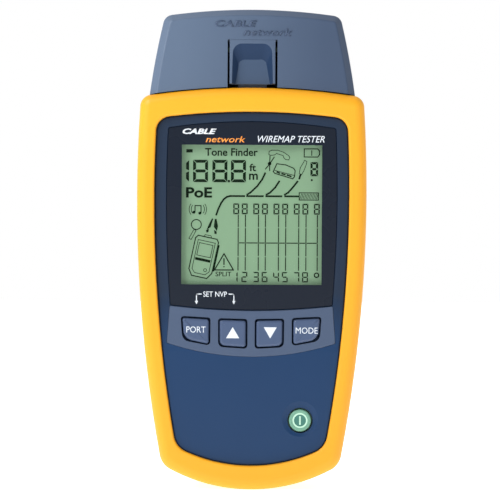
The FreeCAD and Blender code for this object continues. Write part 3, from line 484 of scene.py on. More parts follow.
def patch(name, points, y):
    """A flat filled shape through points in the face's plane, in millimetres."""
    deselect()
    bpy.ops.mesh.primitive_circle_add(
        vertices=len(points), radius=MM, fill_type="NGON", rotation=(math.pi / 2, 0, 0)
    )
    obj = settle(named(name))
    for vertex, (x, z) in zip(obj.data.vertices, points):
        vertex.co = millimetres(x, y, z)
    return obj


def frame_outline(name, points, width, y):
    """The outline of a closed shape, as one line."""
    return stroke(name, [*points, points[0]], width, y)


SEGMENTS = {
    "1": "bc", "2": "abged", "3": "abgcd", "4": "fgbc", "5": "afgcd", "6": "afgedc", "7": "abc",
    "8": "abcdefg", "0": "abcdef",
}


def digit(name, figure, x0, z0, width, height, thick, y):
    """A seven-segment figure with mitred ends."""
    x1, z1, mid = x0 + width, z0 + height, z0 + height / 2
    gap, half, side = thick * 0.12, thick / 2, thick * 0.62
    shapes = {
        "g": [
            (x0 + side, mid), (x0 + side + half, mid + half), (x1 - side - half, mid + half),
            (x1 - side, mid), (x1 - side - half, mid - half), (x0 + side + half, mid - half),
        ],
    }
    for letter, edge, inner in (("a", z1, z1 - thick), ("d", z0, z0 + thick)):
        shapes[letter] = [
            (x0 + gap, edge), (x1 - gap, edge),
            (x1 - gap - thick, inner), (x0 + gap + thick, inner),
        ]
    for upper, lower, edge, inner in (("f", "e", x0, x0 + thick), ("b", "c", x1, x1 - thick)):
        shapes[upper] = [
            (edge, mid + gap), (edge, z1 - gap),
            (inner, z1 - gap - thick), (inner, mid + gap + half),
        ]
        shapes[lower] = [
            (edge, z0 + gap), (edge, mid - gap),
            (inner, mid - gap - half), (inner, z0 + gap + thick),
        ]
    return join(name, [patch(name, shapes[letter], y) for letter in SEGMENTS[figure]])


# ---- node groups and materials ---------------------------------------------------------------
def linear(shade):
    """A screen colour as the renderer's linear colour."""
    return [c / 12.92 if c <= 0.04045 else ((c + 0.055) / 1.055) ** 2.4 for c in shade] + [1.0]


def feed(tree, node, feeds):
    """Gives sockets of a node a value each, or another socket to read."""
    for socket, value in feeds.items():
        if isinstance(value, bpy.types.NodeSocket):
            tree.links.new(value, node.inputs[socket])
        else:
            node.inputs[socket].default_value = value


def put(tree, kind, feeds=None, operation=None):
    """Adds a node to a tree and feeds its sockets."""
    node = tree.nodes.new(f"ShaderNode{kind}")
    if operation:
        node.operation = operation
    feed(tree, node, feeds or {})
    return node


def new_group(name, inputs, outputs):
    """An empty shader node group with named sockets."""
    group = bpy.data.node_groups.new(name, "ShaderNodeTree")
    for label, (kind, value) in inputs.items():
        socket = group.interface.new_socket(
            name=label, in_out="INPUT", socket_type=f"NodeSocket{kind}"
        )
        socket.default_value = value
    for label, kind in outputs.items():
        group.interface.new_socket(name=label, in_out="OUTPUT", socket_type=f"NodeSocket{kind}")
    return group, put_end(group, "Input"), put_end(group, "Output")


def put_end(group, end):
    """A group's own input or output node."""
    return group.nodes.new(f"NodeGroup{end}")


def moulded_grain():
    """Fine spark-eroded texture of moulded plastic: a height, and a roughness that goes with it."""
    group, start, end = new_group(
        "Moulded Grain",
        {"Scale": ("Float", 2600.0), "Roughness": ("Float", 0.5), "Spread": ("Float", 0.06)},
        {"Height": "Float", "Roughness": "Float"},
    )
    given = start.outputs
    place = put(group, "TexCoord").outputs["Object"]
    fine = put(group, "TexNoise", {"Vector": place, "Scale": given["Scale"], "Detail": 2.0})
    broad = put(group, "TexNoise", {"Vector": place, "Scale": 45.0, "Detail": 3.0})
    centred = put(group, "Math", {0: broad.outputs["Fac"], 1: 0.5}, "SUBTRACT")
    swing = put(
        group, "Math", {0: centred.outputs[0], 1: given["Spread"], 2: given["Roughness"]},
        "MULTIPLY_ADD",
    )
    feed(group, end, {"Height": fine.outputs["Fac"], "Roughness": swing.outputs[0]})
    return group


def handling_marks():
    """Slight unevenness of colour from moulding and handling."""
    group, start, end = new_group(
        "Handling Marks",
        {
            "Colour": ("Color", (0.5, 0.5, 0.5, 1)), "Strength": ("Float", 0.05),
            "Scale": ("Float", 30.0),
        },
        {"Colour": "Color"},
    )
    given = start.outputs
    place = put(group, "TexCoord").outputs["Object"]
    cloud = put(
        group, "TexNoise",
        {"Vector": place, "Scale": given["Scale"], "Detail": 4.0, "Roughness": 0.6},
    )
    mask = put(group, "MapRange", {"Value": cloud.outputs["Fac"], "From Min": 0.3, "From Max": 0.7})
    centred = put(group, "Math", {0: mask.outputs["Result"], 1: 0.5}, "SUBTRACT")
    amount = put(
        group, "Math", {0: centred.outputs[0], 1: given["Strength"], 2: 1.0}, "MULTIPLY_ADD"
    )
    shade = put(group, "VectorMath", {0: given["Colour"], "Scale": amount.outputs[0]}, "SCALE")
    feed(group, end, {"Colour": shade.outputs[0]})
    return group


def place_group(tree, name, feeds):
    """A shared node group, built once and placed in each material with its own values."""
    makers = {"Moulded Grain": moulded_grain, "Handling Marks": handling_marks}
    node = tree.nodes.new("ShaderNodeGroup")
    node.node_tree = bpy.data.node_groups.get(name) or makers[name]()
    feed(tree, node, feeds)
    return node


def finish_of(
    name, shade, roughness=0.5, metallic=0.0, grain=2600.0, depth=0.004, uneven=0.04, spread=0.08,
    coat=0.0, specular=0.5, patches=30.0, glow=0.0,
):
    """A moulded, printed or plated finish: slightly uneven colour, and a grain in the surface."""
    material = bpy.data.materials.get(name)
    if material:
        return material
    material = bpy.data.materials.new(name)
    material.use_nodes = True
    tree = material.node_tree
    shader = tree.nodes["Principled BSDF"]
    marks = place_group(
        tree, "Handling Marks", {"Colour": linear(shade), "Strength": uneven, "Scale": patches}
    )
    texture = place_group(
        tree, "Moulded Grain", {"Scale": grain, "Roughness": roughness, "Spread": spread}
    )
    bump = put(
        tree, "Bump", {"Strength": 0.6, "Distance": depth * MM, "Height": texture.outputs["Height"]}
    )
    outlet = marks.outputs["Colour"]
    feed(tree, shader, {
        "Base Color": outlet, "Metallic": metallic, "Roughness": texture.outputs["Roughness"],
        "Specular IOR Level": specular, "Coat Weight": coat, "Coat Roughness": 0.1,
        "Normal": bump.outputs["Normal"],
    })
    if glow:
        feed(tree, shader, {"Emission Color": outlet, "Emission Strength": glow})
    return material


def retint(tree, source):
    """Lets a finish read its colour from a socket."""
    marks = next(node for node in tree.nodes if node.type == "GROUP" and "Colour" in node.inputs)
    tree.links.new(source, marks.inputs["Colour"])


def ranged(tree, source, low, high):
    """A mask that rises from 0 to 1 as a value goes from low to high, in millimetres."""
    feeds = {"Value": source, "From Min": low * MM, "From Max": high * MM}
    return put(tree, "MapRange", feeds).outputs["Result"]


def two_tone(material, first, second):
    """Makes a finish two colours. Returns its tree, its coordinates and the socket of the mask."""
    tree = material.node_tree
    mix = put(tree, "Mix", {6: linear(first), 7: linear(second)})
    mix.data_type = "RGBA"
    retint(tree, mix.outputs[2])
    return tree, put(tree, "TexCoord").outputs["Object"], mix.inputs[0]


def split_place(tree, place):
    """The object's coordinates as three values."""
    return put(tree, "SeparateXYZ", {0: place}).outputs


def paint_bezel_shade(material, base, bezel_painted_shade):
    """Paints shade on the casing round the display, which sits lower than the face under the keys:
    a darker copy of the casing colour stands in for its shade.
    """
    tree, place, mask = two_tone(material, base, bezel_painted_shade)
    parts = split_place(tree, place)
    front = put(tree, "Math", {0: parts["Y"], 1: -15.0 * MM}, "LESS_THAN")
    rise = ranged(tree, parts["Z"], 48, 66)
    both = put(tree, "Math", {0: rise, 1: front.outputs[0]}, "MULTIPLY")
    tree.links.new(both.outputs[0], mask)


def tone_along(material, axis, low, high, first, second):
    """Lets a finish change from one colour to another along an axis, in millimetres."""
    tree, place, mask = two_tone(material, first, second)
    tree.links.new(ranged(tree, split_place(tree, place)[axis], low, high), mask)


def darker_middle(material, centre, middle, edge):
    """Darkens the dished middle of the round key."""
    tree, place, mask = two_tone(material, middle, edge)
    flat = put(tree, "VectorMath", {0: place, 1: (1, 0, 1)}, "MULTIPLY")
    away = put(tree, "VectorMath", {0: flat.outputs[0], 1: centre}, "DISTANCE")
    tree.links.new(ranged(tree, away.outputs["Value"], 2.1, 2.6), mask)


def clear_plastic(name):
    """Clear lens: what lies behind it shows, and its surface reflects."""
    material = bpy.data.materials.new(name)
    material.use_nodes = True
    tree = material.node_tree
    shader = tree.nodes["Principled BSDF"]
    texture = place_group(tree, "Moulded Grain", {"Roughness": 0.06, "Spread": 0.05})
    feed(tree, shader, {
        "Base Color": (1, 1, 1, 1), "Metallic": 1.0, "Roughness": texture.outputs["Roughness"],
    })
    through = put(tree, "BsdfTransparent", {"Color": (0.97, 0.985, 0.975, 1)})
    gloss = put(tree, "Fresnel", {"IOR": 1.16})
    mix = put(tree, "MixShader", {
        0: gloss.outputs["Fac"], 1: through.outputs["BSDF"], 2: shader.outputs["BSDF"],
    })
    feed(tree, tree.nodes["Material Output"], {"Surface": mix.outputs["Shader"]})
    return material


def wear(obj, material):
    """Gives an object one finish all over."""
    obj.data.materials.clear()
    obj.data.materials.append(material)
    return obj


def refinish(node, material):
    """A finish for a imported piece, on every slot it has."""
    obj = NODES[node]
    for slot in obj.material_slots:
        slot.material = material
    if not obj.material_slots:
        obj.data.materials.append(material)


def shades():
    """The colours set in the sidebar."""
    return bpy.context.scene.tester_finish


def sizes():
    """The sizes set in the sidebar."""
    return bpy.context.scene.tester_sizes


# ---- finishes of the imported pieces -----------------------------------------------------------
class TESTER_OT_casing(bpy.types.Operator):
    """Gives the soft rim, the casing and the other packed outer pieces their finishes"""

    bl_idname = "tester.casing"
    bl_label = "Rim and Casing"

    def execute(self, context):
        tone = shades()
        rim = finish_of(
            "Soft Rim", tone.rim, roughness=0.46, grain=1500, depth=0.006, uneven=0.03, spread=0.1
        )
        shell = finish_of(
            "Blue Casing", tone.shell, roughness=0.42, grain=2200, depth=0.006, uneven=0.05,
            specular=0.25,
        )
        # Painted shade: the casing turns darker round the display.
        paint_bezel_shade(shell, tone.shell, tone.bezel_painted_shade)
        # Partly painted light: the panel's lighter colour also stands in for the light on its
        # upward-tilted face.
        panel = finish_of(
            "Key Panel", tone.panel, roughness=0.38, depth=0.003, uneven=0.03, specular=0.35
        )
        for node in ("front_overmould", "rear_overmould"):
            refinish(node, rim)
        for node in ("front_shell", "rear_shell", "battery_door"):
            refinish(node, shell)
        refinish("keypad_panel", panel)
        return {"FINISHED"}


class TESTER_OT_insides(bpy.types.Operator):
    """Gives the boards, sockets and other inner pieces their finishes"""

    bl_idname = "tester.insides"
    bl_label = "Inner Pieces"

    def execute(self, context):
        plated = {"metallic": 1.0, "depth": 0.001}
        table = [
            ("Black Moulding", (0.09, 0.09, 0.1), {"roughness": 0.5},
             "end_panel display_frame sounder jack_housing adapter_end_panel adapter_jack_housing "
             "board_chips lens_gasket adapter_resistors"),
            ("Solder Mask", (0.06, 0.29, 0.16), {"roughness": 0.3, "grain": 900, "coat": 0.4},
             "main_board adapter_board"),
            ("Gold Plate", (0.86, 0.68, 0.33), {"roughness": 0.25, **plated},
             "key_pads jack_contacts adapter_jack_contacts"),
            ("Nickel Plate", (0.77, 0.76, 0.73), {"roughness": 0.24, **plated},
             "battery_contacts battery_springs coax_nut coax_connector adapter_coax_connector"),
            ("Drawn Can", (0.8, 0.81, 0.82), {"roughness": 0.3, **plated},
             "board_capacitors battery_left battery_right"),
            ("Black Steel", (0.2, 0.2, 0.21), {"roughness": 0.4, "metallic": 1.0},
             "case_screws adapter_screws"),
            ("Brass", (0.78, 0.6, 0.32), {"roughness": 0.3, "metallic": 1.0}, "door_insert"),
            ("White Insulator", (0.93, 0.92, 0.9), {"roughness": 0.5},
             "coax_insulator adapter_coax_insulator"),
            ("Grey Silicone", (0.6, 0.62, 0.65), {"roughness": 0.6}, "keypad_mat contact_strip"),
            ("Carbon Pill", (0.05, 0.05, 0.05), {"roughness": 0.7},
             "port_key_pill up_key_pill down_key_pill mode_key_pill power_key_pill"),
            ("Light Guide", (0.9, 0.92, 0.9), {"roughness": 0.4}, "backlight_guide"),
            ("Label Film", (0.82, 0.83, 0.84), {"roughness": 0.35, "uneven": 0.02}, "rating_label"),
        ]
        for name, shade, settings, nodes in table:
            material = finish_of(name, shade, **settings)
            for node in nodes.split():
                refinish(node, material)
        # Painted shade: the screw darkens deeper into the door, from 17.75 mm down to 17.3 mm,
        # standing in for the shade in its hole.
        pale, dark = (0.6, 0.6, 0.6), (0.12, 0.12, 0.12)
        zinc = finish_of("Zinc Plate", pale, roughness=0.4, metallic=1.0, depth=0.001)
        tone_along(zinc, "Y", 17.3, 17.75, dark, pale)
        refinish("door_screw", zinc)
        return {"FINISHED"}


class TESTER_OT_display(bpy.types.Operator):
    """Finishes the display: its lens, dark border and reflective cell"""

    bl_idname = "tester.display"
    bl_label = "Display"

    def execute(self, context):
        tone = shades()
        refinish("display_lens", clear_plastic("Clear Lens"))
        border = finish_of("Border Print", tone.overlay, roughness=0.28, uneven=0.05, specular=0.25)
        refinish("face_overlay", border)
        # Painted light: the cell glows a little in its own colour, though it is only reflective and
        # no lamp.
        cell = finish_of(
            "Display Cell Painted Glow", tone.display, roughness=0.5, uneven=0.03, patches=18, depth=0.001,
            glow=0.12,
        )
        refinish("lcd_cell", cell)
        return {"FINISHED"}


class TESTER_OT_adapter(bpy.types.Operator):
    """Finishes the wiremap adapter's casing and raises its lettering"""

    bl_idname = "tester.adapter"
    bl_label = "Adapter Casing"

    def execute(self, context):
        tone = shades()
        casing = finish_of(
            "Adapter Casing", tone.adapter, roughness=0.4, grain=2200, depth=0.005, specular=0.35
        )
        # Painted shade: the casing darkens from left to right across the adapter, as the light
        # falls off.
        tone_along(casing, "X", -24, 24, tone.adapter, tone.adapter_right_painted_shade)
        for node in ("adapter_front_shell", "adapter_rear_shell"):
            refinish(node, casing)
        middle = 152.5
        words = join("adapter_lettering", [
            lettering("word", "CABLE", -12.6, 0, 154.0, 2.1, 14.0, bold=0.02, slant=0.25),
            lettering("word", "network", -3.1, 0, 151.0, 2.4, 16.2, bold=0.01, slant=0.25),
        ])
        thicken(lay_on(words, adapter_face(middle) + 0.02, -ADAPTER_LEAN, middle), 0.25)
        # Painted shade: the letters are coloured darker than the casing they are moulded from.
        mark = finish_of(
            "Raised Lettering Painted Shade", tone.lettering, roughness=0.45, depth=0.002, specular=0.3
        )
        finished(words, mark, "adapter_body")
        return {"FINISHED"}


ADAPTER_FOOT, ADAPTER_FOOT_Y = 133.0, -16.0
ADAPTER_SLOPE = 2.0 / 27.0
ADAPTER_LEAN = math.atan(ADAPTER_SLOPE)


def adapter_face(z):
    """Where the adapter's sloping front face is at a height, in millimetres."""
    return ADAPTER_FOOT_Y + (z - ADAPTER_FOOT) * ADAPTER_SLOPE


class TESTER_OT_latch(bpy.types.Operator):
    """Models the thumb latch: plate, scoop, neck, tongue and barb"""

    bl_idname = "tester.latch"
    bl_label = "Thumb Latch"

    def tone(self, plate, foot, depth):
        """The casing's finish on the plate, and painted shade on the scoop's slope and its floor:
        darker copies of the casing colour.
        """
        tone = shades()
        wear(plate, bpy.data.materials["Adapter Casing"])
        # Painted shade in the scoop: darker finishes on its slope and on its floor.
        for name, shade in (("Scoop Slope Painted Shade", tone.scoop), ("Scoop Floor Painted Shade", tone.scoop_floor_painted_shade)):
            plate.data.materials.append(finish_of(name, shade, depth=0.005, specular=0.15))
        for part in plate.data.polygons:
            x, y, z = part.center / MM
            sunk = y - adapter_face(z)
            in_scoop = abs(x) < 7 and 0.05 < sunk < depth + 0.2 and z > foot + 0.05
            if in_scoop and part.normal.y < -0.2:
                part.material_index = 2 if sunk > depth - 0.1 else 1

    def execute(self, context):
        foot, pivot, half, thick = 135.0, 149.2, 7.6, 3.0
        low, depth, crown, corner, above = foot - 1.5, 2.2, 148.5, 3.0, 140 * MM
        face = adapter_face(foot)
        plate = block("thumb_latch", (-half, face, foot), (half, face + thick, pivot))
        scoop = block("scoop", (-6.9, face, low), (6.9, face + depth, crown))
        pick(scoop, "VERT", lambda v: v.co.z > above)
        stretch((0.94, 1, 1))
        leave()
        across = along((0, 1, 0))
        bevel_edges(scoop, lambda e: across(e) and e.verts[0].co.z > above, corner, 8)
        pick(scoop, "FACE", facing((0, -1, 0), FLAT))
        pull(0, -1.5, 0)
        leave()
        pick(scoop, "FACE", facing((0, 1, 0), FLAT))
        stretch((0.87, 1, 0.66), z=low)
        leave()
        inner = (face + depth - 0.1) * MM
        pick(scoop, "VERT", lambda v: v.co.y > inner and v.co.z > (low + 5) * MM)
        stretch((0.82, 1, 1))
        leave()
        hinge = Matrix.Translation(millimetres(0, face, foot))
        lean = hinge @ Matrix.Rotation(-ADAPTER_LEAN, 4, "X") @ hinge.inverted()
        for piece in (plate, scoop):
            piece.matrix_world = lean
            settle(piece)
        carve(plate, outward(scoop))
        outward(plate)
        self.tone(plate, foot, depth)
        apply(plate, "BEVEL", width=0.18 * MM, segments=3, limit_method="ANGLE",
              angle_limit=math.radians(14))
        axis = adapter_face(pivot) + 1.0
        root = drum("root", 1.0, (-half, axis, pivot), (half, axis, pivot), 24)
        neck = block("neck", (-4.8, -13.4, 135.2), (4.8, -10.2, 136.6))
        tongue = block("tongue", (-4.8, -11.4, 128.4), (4.8, -10.2, 136.4))
        barb = block("barb", (-4.8, -11.85, 129.2), (4.8, -11.0, 130.0))
        for piece, top, front, back in ((tongue, 129, -11, 0.3), (barb, 129.5, -11.5, 0.6)):
            pick(piece, "VERT", lambda v: v.co.z < top * MM and v.co.y < front * MM)
            shift(0, back, 0)
            leave()
        for piece in (root, neck, tongue, barb):
            wear(piece, bpy.data.materials["Adapter Casing"])
        latch = even_shading(join("thumb_latch", [plate, root, neck, tongue, barb]), 35)
        finished(latch, None, "latch_body")
        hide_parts("latch_tab")
        return {"FINISHED"}


RAMP_FOOT, RAMP_FOOT_Y = 46.0, -17.12
RAMP_SLOPE = 0.8 / 16.5
RAMP_LEAN = -math.atan(RAMP_SLOPE)
KEY_RISE = 0.55
KEYS = {
    "port": ([(-23.4, 57.7), (-13.5, 57.2), (-13.5, 47.9), (-22.8, 49.6)], (1.0, 1.0, 1.2, 2.8)),
    "up": ([(-11.0, 57.0), (-1.2, 56.8), (-1.2, 46.9), (-10.9, 47.5)], (1.0, 1.0, 1.2, 1.8)),
}


def key_face(z):
    """Where the keys' sloping tops are at a height, in millimetres."""
    return RAMP_FOOT_Y - KEY_RISE + (z - RAMP_FOOT) * RAMP_SLOPE


class TESTER_OT_keys(bpy.types.Operator):
    """Models the four panel keys with cushioned tops, and their legends"""

    bl_idname = "tester.keys"
    bl_label = "Panel Keys"

    def key(self, name, corners, radii):
        """One key: a cornered cap with a cushioned top, and its flange."""
        gap, flange, front, seat, least = 0.55, 0.6, -17.0, -13.2, 0.6
        centre_x = sum(x for x, z in corners) / 4
        centre_z = sum(z for x, z in corners) / 4
        inner = [
            (x - math.copysign(gap, x - centre_x), z - math.copysign(gap, z - centre_z))
            for x, z in corners
        ]
        cap = patch(name, inner, front)
        for (x, z), radius in zip(inner, radii):
            spot = millimetres(x, front, z)
            pick(cap, "VERT", lambda v: (v.co - spot).length < 0.05 * MM)
            round_off(max(radius - 0.2, least), 6, "VERTICES")
            leave()
        edit(cap, "FACE")
        bpy.ops.mesh.select_all(action="SELECT")
        pull(0, seat - front, 0)
        leave()
        outward(cap)
        pick(cap, "FACE", facing((0, 1, 0)))
        pull(0, 0, 0)
        stretch((1.22, 1, 1.22), centre_x, 0, centre_z)
        pull(0, flange, 0)
        leave()
        pick(cap, "FACE", facing((0, -1, 0), 0.99))
        bpy.ops.transform.rotate(
            value=-RAMP_LEAN, orient_axis="X", center_override=millimetres(0, front, centre_z)
        )
        shift(0, key_face(centre_z) - front, 0)
        round_off(0.8, 6)
        leave()
        return outward(cap)

    def execute(self, context):
        tone = shades()
        cap = finish_of("Key Caps", tone.key, roughness=0.34, depth=0.002, specular=0.4)
        white = finish_of("White Print", tone.print_white, depth=0.001)
        partner = {"port": "mode", "up": "down"}
        for name, (corners, radii) in KEYS.items():
            made = self.key(f"{name}_cap", corners, radii)
            other = partner[name]
            for which, piece in ((other, mirrored_copy(made, f"{other}_cap")), (name, made)):
                finished(even_shading(piece, 40), cap, f"{which}_key_body")
                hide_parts(f"{which}_key")
        legends = {
            "port": lettering("port_legend", "PORT", -21.47, 0, 52.2, 2.05, 6.4),
            "mode": lettering("mode_legend", "MODE", 14.8, 0, 52.05, 2.05, 7.3),
            "up": patch("up_legend", [(-8.3, 50.4), (-6.1, 54.1), (-3.9, 50.4)], 0),
            "down": patch("down_legend", [(4.2, 54.1), (8.5, 54.1), (6.35, 50.4)], 0),
        }
        for which, mark in legends.items():
            lay_on(mark, key_face(52.2) - 0.005, RAMP_LEAN, 52.2)
            thicken(mark, 0.03)
            finished(mark, white, f"{which}_key_body")
        return {"FINISHED"}


class TESTER_OT_power(bpy.types.Operator):
    """Models the dished power key and its symbol"""

    bl_idname = "tester.power"
    bl_label = "Power Key"

    def execute(self, context):
        tone = shades()
        x, z, radius, front, seat = 16.4, 23.2, 3.65, -16.95, -13.2
        cap = drum("power_cap", radius, (x, front, z), (x, seat, z), 64)
        top = facing((0, -1, 0), FLAT)
        pick(cap, "FACE", top)
        round_off(0.45, 4)
        leave()
        pick(cap, "FACE", top)
        inset(0.35)
        inset(0.35, -0.12)
        inset(0.9, -0.06)
        leave()
        pick(cap, "FACE", facing((0, 1, 0), FLAT))
        pull(0, 0, 0)
        stretch((1.28, 1, 1.28), x, 0, z)
        pull(0, 0.6, 0)
        leave()
        even_shading(outward(cap), 40)
        rubber = finish_of("Power Key", tone.power, roughness=0.4)
        darker_middle(rubber, millimetres(x, 0, z), tone.power_middle, tone.power)
        finished(cap, rubber, "power_key_body")
        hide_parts("power_key")
        symbol = join("power_symbol", [
            hoop("ring", x, z, 2.25, 0.52, front + 0.2),
            stroke("bar", [(x, z - 1.2), (x, z + 1.2)], 0.55, front + 0.2),
        ])
        thicken(symbol, 0.1)
        mint = finish_of("Mint Print", tone.mint, depth=0.001)
        finished(symbol, mint, "power_key_body")
        return {"FINISHED"}


class TESTER_OT_border(bpy.types.Operator):
    """Prints the lettering on the display's border"""

    bl_idname = "tester.border"
    bl_label = "Border Lettering"

    def execute(self, context):
        tone = shades()
        white = finish_of("White Print", tone.print_white, depth=0.001)
        orange = finish_of("Orange Print", tone.print_orange, depth=0.001)
        y = -16.16
        arrows = []
        for x, turn in ((-18.2, 1.0), (-5.77, -1.0)):
            arrows += [
                stroke(
                    "bracket",
                    [(x + 1.6 * turn, 65.0), (x + 0.3 * turn, 65.0), (x, 64.7), (x, 62.6)], 0.3, y,
                ),
                patch("head", [(x - 0.55, 62.75), (x + 0.55, 62.75), (x, 61.6)], y),
            ]
        plain = join("border_print", [
            lettering("word", "CABLE", -23.1, y, 118.1, 1.9, 11.3, bold=0.04, slant=0.3),
            lettering("word", "WIREMAP TESTER", 1.9, y, 115.5, 2.2, 22.2, slant=0.3),
            lettering("word", "SET NVP", -15.97, y, 64.1, 1.75, 7.9),
            *arrows,
        ])
        finished(thicken(plain, 0.02), white, "tester")
        second = lettering(
            "border_print_second", "network", -15.4, y, 115.4, 2.1, 13.2, bold=0.01, slant=0.25
        )
        finished(thicken(second, 0.02), orange, "tester")
        return {"FINISHED"}


class TESTER_OT_segments(bpy.types.Operator):
    """Draws the display's figures, pictograms and wiremap"""

    bl_idname = "tester.segments"
    bl_label = "Display Marks"

    def figures(self, y):
        """The length reading, the wiremap's pin numbers and the small digit."""
        thick = sizes().stroke / MM
        marks = [digit("one", "1", -22.3, 102.23, 1.35, 7.45, thick, y)]
        marks += row_of(digit("eight", "8", -19.63, 102.23, 5.0, 7.45, thick, y), (6.46, 12.63))
        point = [(-8.05, 102.2), (-7.3, 102.2), (-7.3, 103.0), (-8.05, 103.0)]
        marks.append(patch("point", point, y))
        marks.append(digit("eight", "8", 19.5, 104.4, 2.55, 4.7, 0.75, y))
        marks.append(disc("point", 19.95, 103.1, 0.36, y, 12))
        first = TOP_COLUMNS[0]
        little = digit("eight", "8", first - 0.98, 91.6, 1.96, 3.6, 0.46, y)
        marks += row_of(little, [x - first for x in TOP_COLUMNS[1:]])
        for x, figure in zip(TOP_COLUMNS, "12364578"):
            left = x - (1.36 if figure == "1" else 0.98)
            marks.append(digit("pin", figure, left, 69.0, 1.96, 3.4, 0.42, y))
        marks.append(hoop("shield", TOP_COLUMNS[8], 71.4, 0.72, 0.42, y))
        return marks

    def wires(self, y):
        """The wiremap's nine lines, crossed by one, and the cable above them."""
        line = sizes().line / MM
        first = WIRE_COLUMNS[0]
        dashes = ((73.0, 77.2), (77.8, 81.85), (82.25, 86.9), (87.45, 91.3))
        parts = [stroke("wire", [(first, low), (first, high)], line, y) for low, high in dashes]
        marks = row_of(join("wire", parts), [x - first for x in WIRE_COLUMNS[1:]])
        for left, right in zip(WIRE_COLUMNS, WIRE_COLUMNS[1:]):
            marks.append(stroke("bridge", [(left + 0.4, 82.05), (right - 0.4, 82.05)], line, y))
        thick, level = 0.6, 97.65
        for run in (
            [(-11.8, 91.4), (-11.1, 93.4), (-10.2, 95.3), (-9.3, 96.6), (-8.3, 97.35),
             (-7.2, level), (-2.5, level)],
            [(-1.6, level), (3.7, level)],
            [(4.8, level), (9.9, level)],
            [(11.1, level), (15.6, level)],
            [(-1.5, 98.2), (-0.4, 98.9), (1.8, 101.0), (3.4, 103.2), (4.4, 105.3)],
            [(4.9, 98.2), (6.0, 98.8), (7.8, 100.6), (9.1, 102.6)],
            [(11.0, 98.2), (12.1, 98.9), (13.8, 100.8), (15.2, 102.6)],
        ):
            marks.append(stroke("cable", run, thick, y))
        sides = [(15.8, 96.45), (22.2, 96.45), (22.2, 98.85), (15.8, 98.85)]
        marks.append(frame_outline("block", sides, 0.3, y))
        hatch = stroke("hatch", [(16.1, 96.8), (16.55, 98.5)], 0.2, y)
        marks += row_of(hatch, [i * 0.5 for i in range(1, 12)])
        return marks

    def pictures(self, y):
        """Handset, clips, battery, hub, probe, note, lens and plugs."""
        fine = sizes().fine / MM
        bold = fine * 1.5
        marks = [
            patch("note", [(-21.9, 112.1), (-19.8, 112.1), (-19.8, 113.2), (-21.9, 113.2)], y),
            frame_outline("battery", [
                (17.4, 110.8), (21.9, 110.8), (22.5, 111.6), (22.5, 112.8), (21.9, 113.5),
                (17.4, 113.5),
            ], bold, y),
            stroke("charge", [(19.9, 111.4), (19.9, 112.9)], bold, y),
            frame_outline("handset", [
                (5.6, 111.5), (5.7, 112.6), (6.6, 113.0), (8.6, 113.0), (10.6, 112.3),
                (12.3, 111.1), (12.6, 110.5), (12.2, 109.8), (11.2, 109.9), (10.6, 110.5),
                (10.4, 111.2), (8.2, 111.9), (7.4, 111.4), (6.4, 111.3),
            ], fine, y),
            stroke("clip", [(6.0, 111.1), (5.9, 108.2), (5.9, 106.2)], bold, y),
            stroke("clip", [(7.4, 110.7), (5.9, 108.4), (4.5, 106.7)], bold, y),
            disc("joint", 5.85, 108.5, 0.6, y, 12),
            frame_outline("hub", [
                (8.3, 108.5), (11.3, 108.1), (13.9, 107.0), (14.4, 106.2), (14.2, 104.2),
                (13.6, 103.5), (7.6, 105.3), (7.1, 105.9),
            ], bold, y),
            stroke("hub_line", [(7.5, 106.3), (14.2, 104.6)], fine, y),
            stroke("port", [(8.4, 105.7), (9.2, 105.4)], 0.5, y),
            stroke("port", [(10.0, 105.2), (11.0, 104.9)], 0.5, y),
            stroke("port", [(11.8, 104.7), (13.0, 104.3)], 0.5, y),
            frame_outline("probe", [
                (17.5, 109.7), (18.3, 109.3), (18.1, 108.3), (17.3, 106.2), (16.5, 104.8),
                (15.8, 105.3), (16.1, 107.2), (17.2, 109.0),
            ], fine, y),
            stroke("probe_tip", [(16.2, 104.9), (15.8, 103.6)], 0.6, y),
            hoop("lens", -18.43, 88.1, 1.65, bold, y),
            frame_outline("handle", [
                (-19.2, 86.5), (-20.9, 83.5), (-20.1, 83.1), (-18.5, 86.1),
            ], fine, y),
            patch("plug", [
                (-13.2, 90.2), (-12.8, 90.0), (-13.7, 87.2), (-15.0, 86.4), (-14.2, 88.3),
            ], y),
            patch("plug", [
                (-12.3, 90.0), (-11.7, 90.0), (-11.2, 87.6), (-11.6, 85.9), (-12.6, 87.4),
            ], y),
            patch("plug_end", [(-15.2, 86.2), (-14.2, 86.8), (-14.4, 85.6), (-15.0, 85.4)], y),
            patch("plug_end", [(-12.5, 86.4), (-11.6, 85.7), (-11.7, 84.9), (-12.4, 85.1)], y),
            stroke("stem", [(-18.9, 92.2), (-18.9, 94.4), (-16.9, 94.4), (-16.9, 91.9)], bold, y),
            disc("head", -19.25, 92.2, 0.5, y, 12),
            disc("head", -17.3, 91.9, 0.5, y, 12),
            frame_outline("split", [(-12.3, 73.0), (-6.0, 73.0), (-9.15, 78.4)], bold * 1.2, y),
            stroke("mark", [(-9.15, 76.7), (-9.15, 74.9)], bold * 1.3, y),
            disc("mark_dot", -9.15, 74.1, 0.24, y, 10),
        ]
        for radius in (2.2, 2.9):
            for start in (-38, 142):
                marks.append(hoop("wave", -17.95, 93.2, radius, fine, y, start, 76, 10))
        return marks

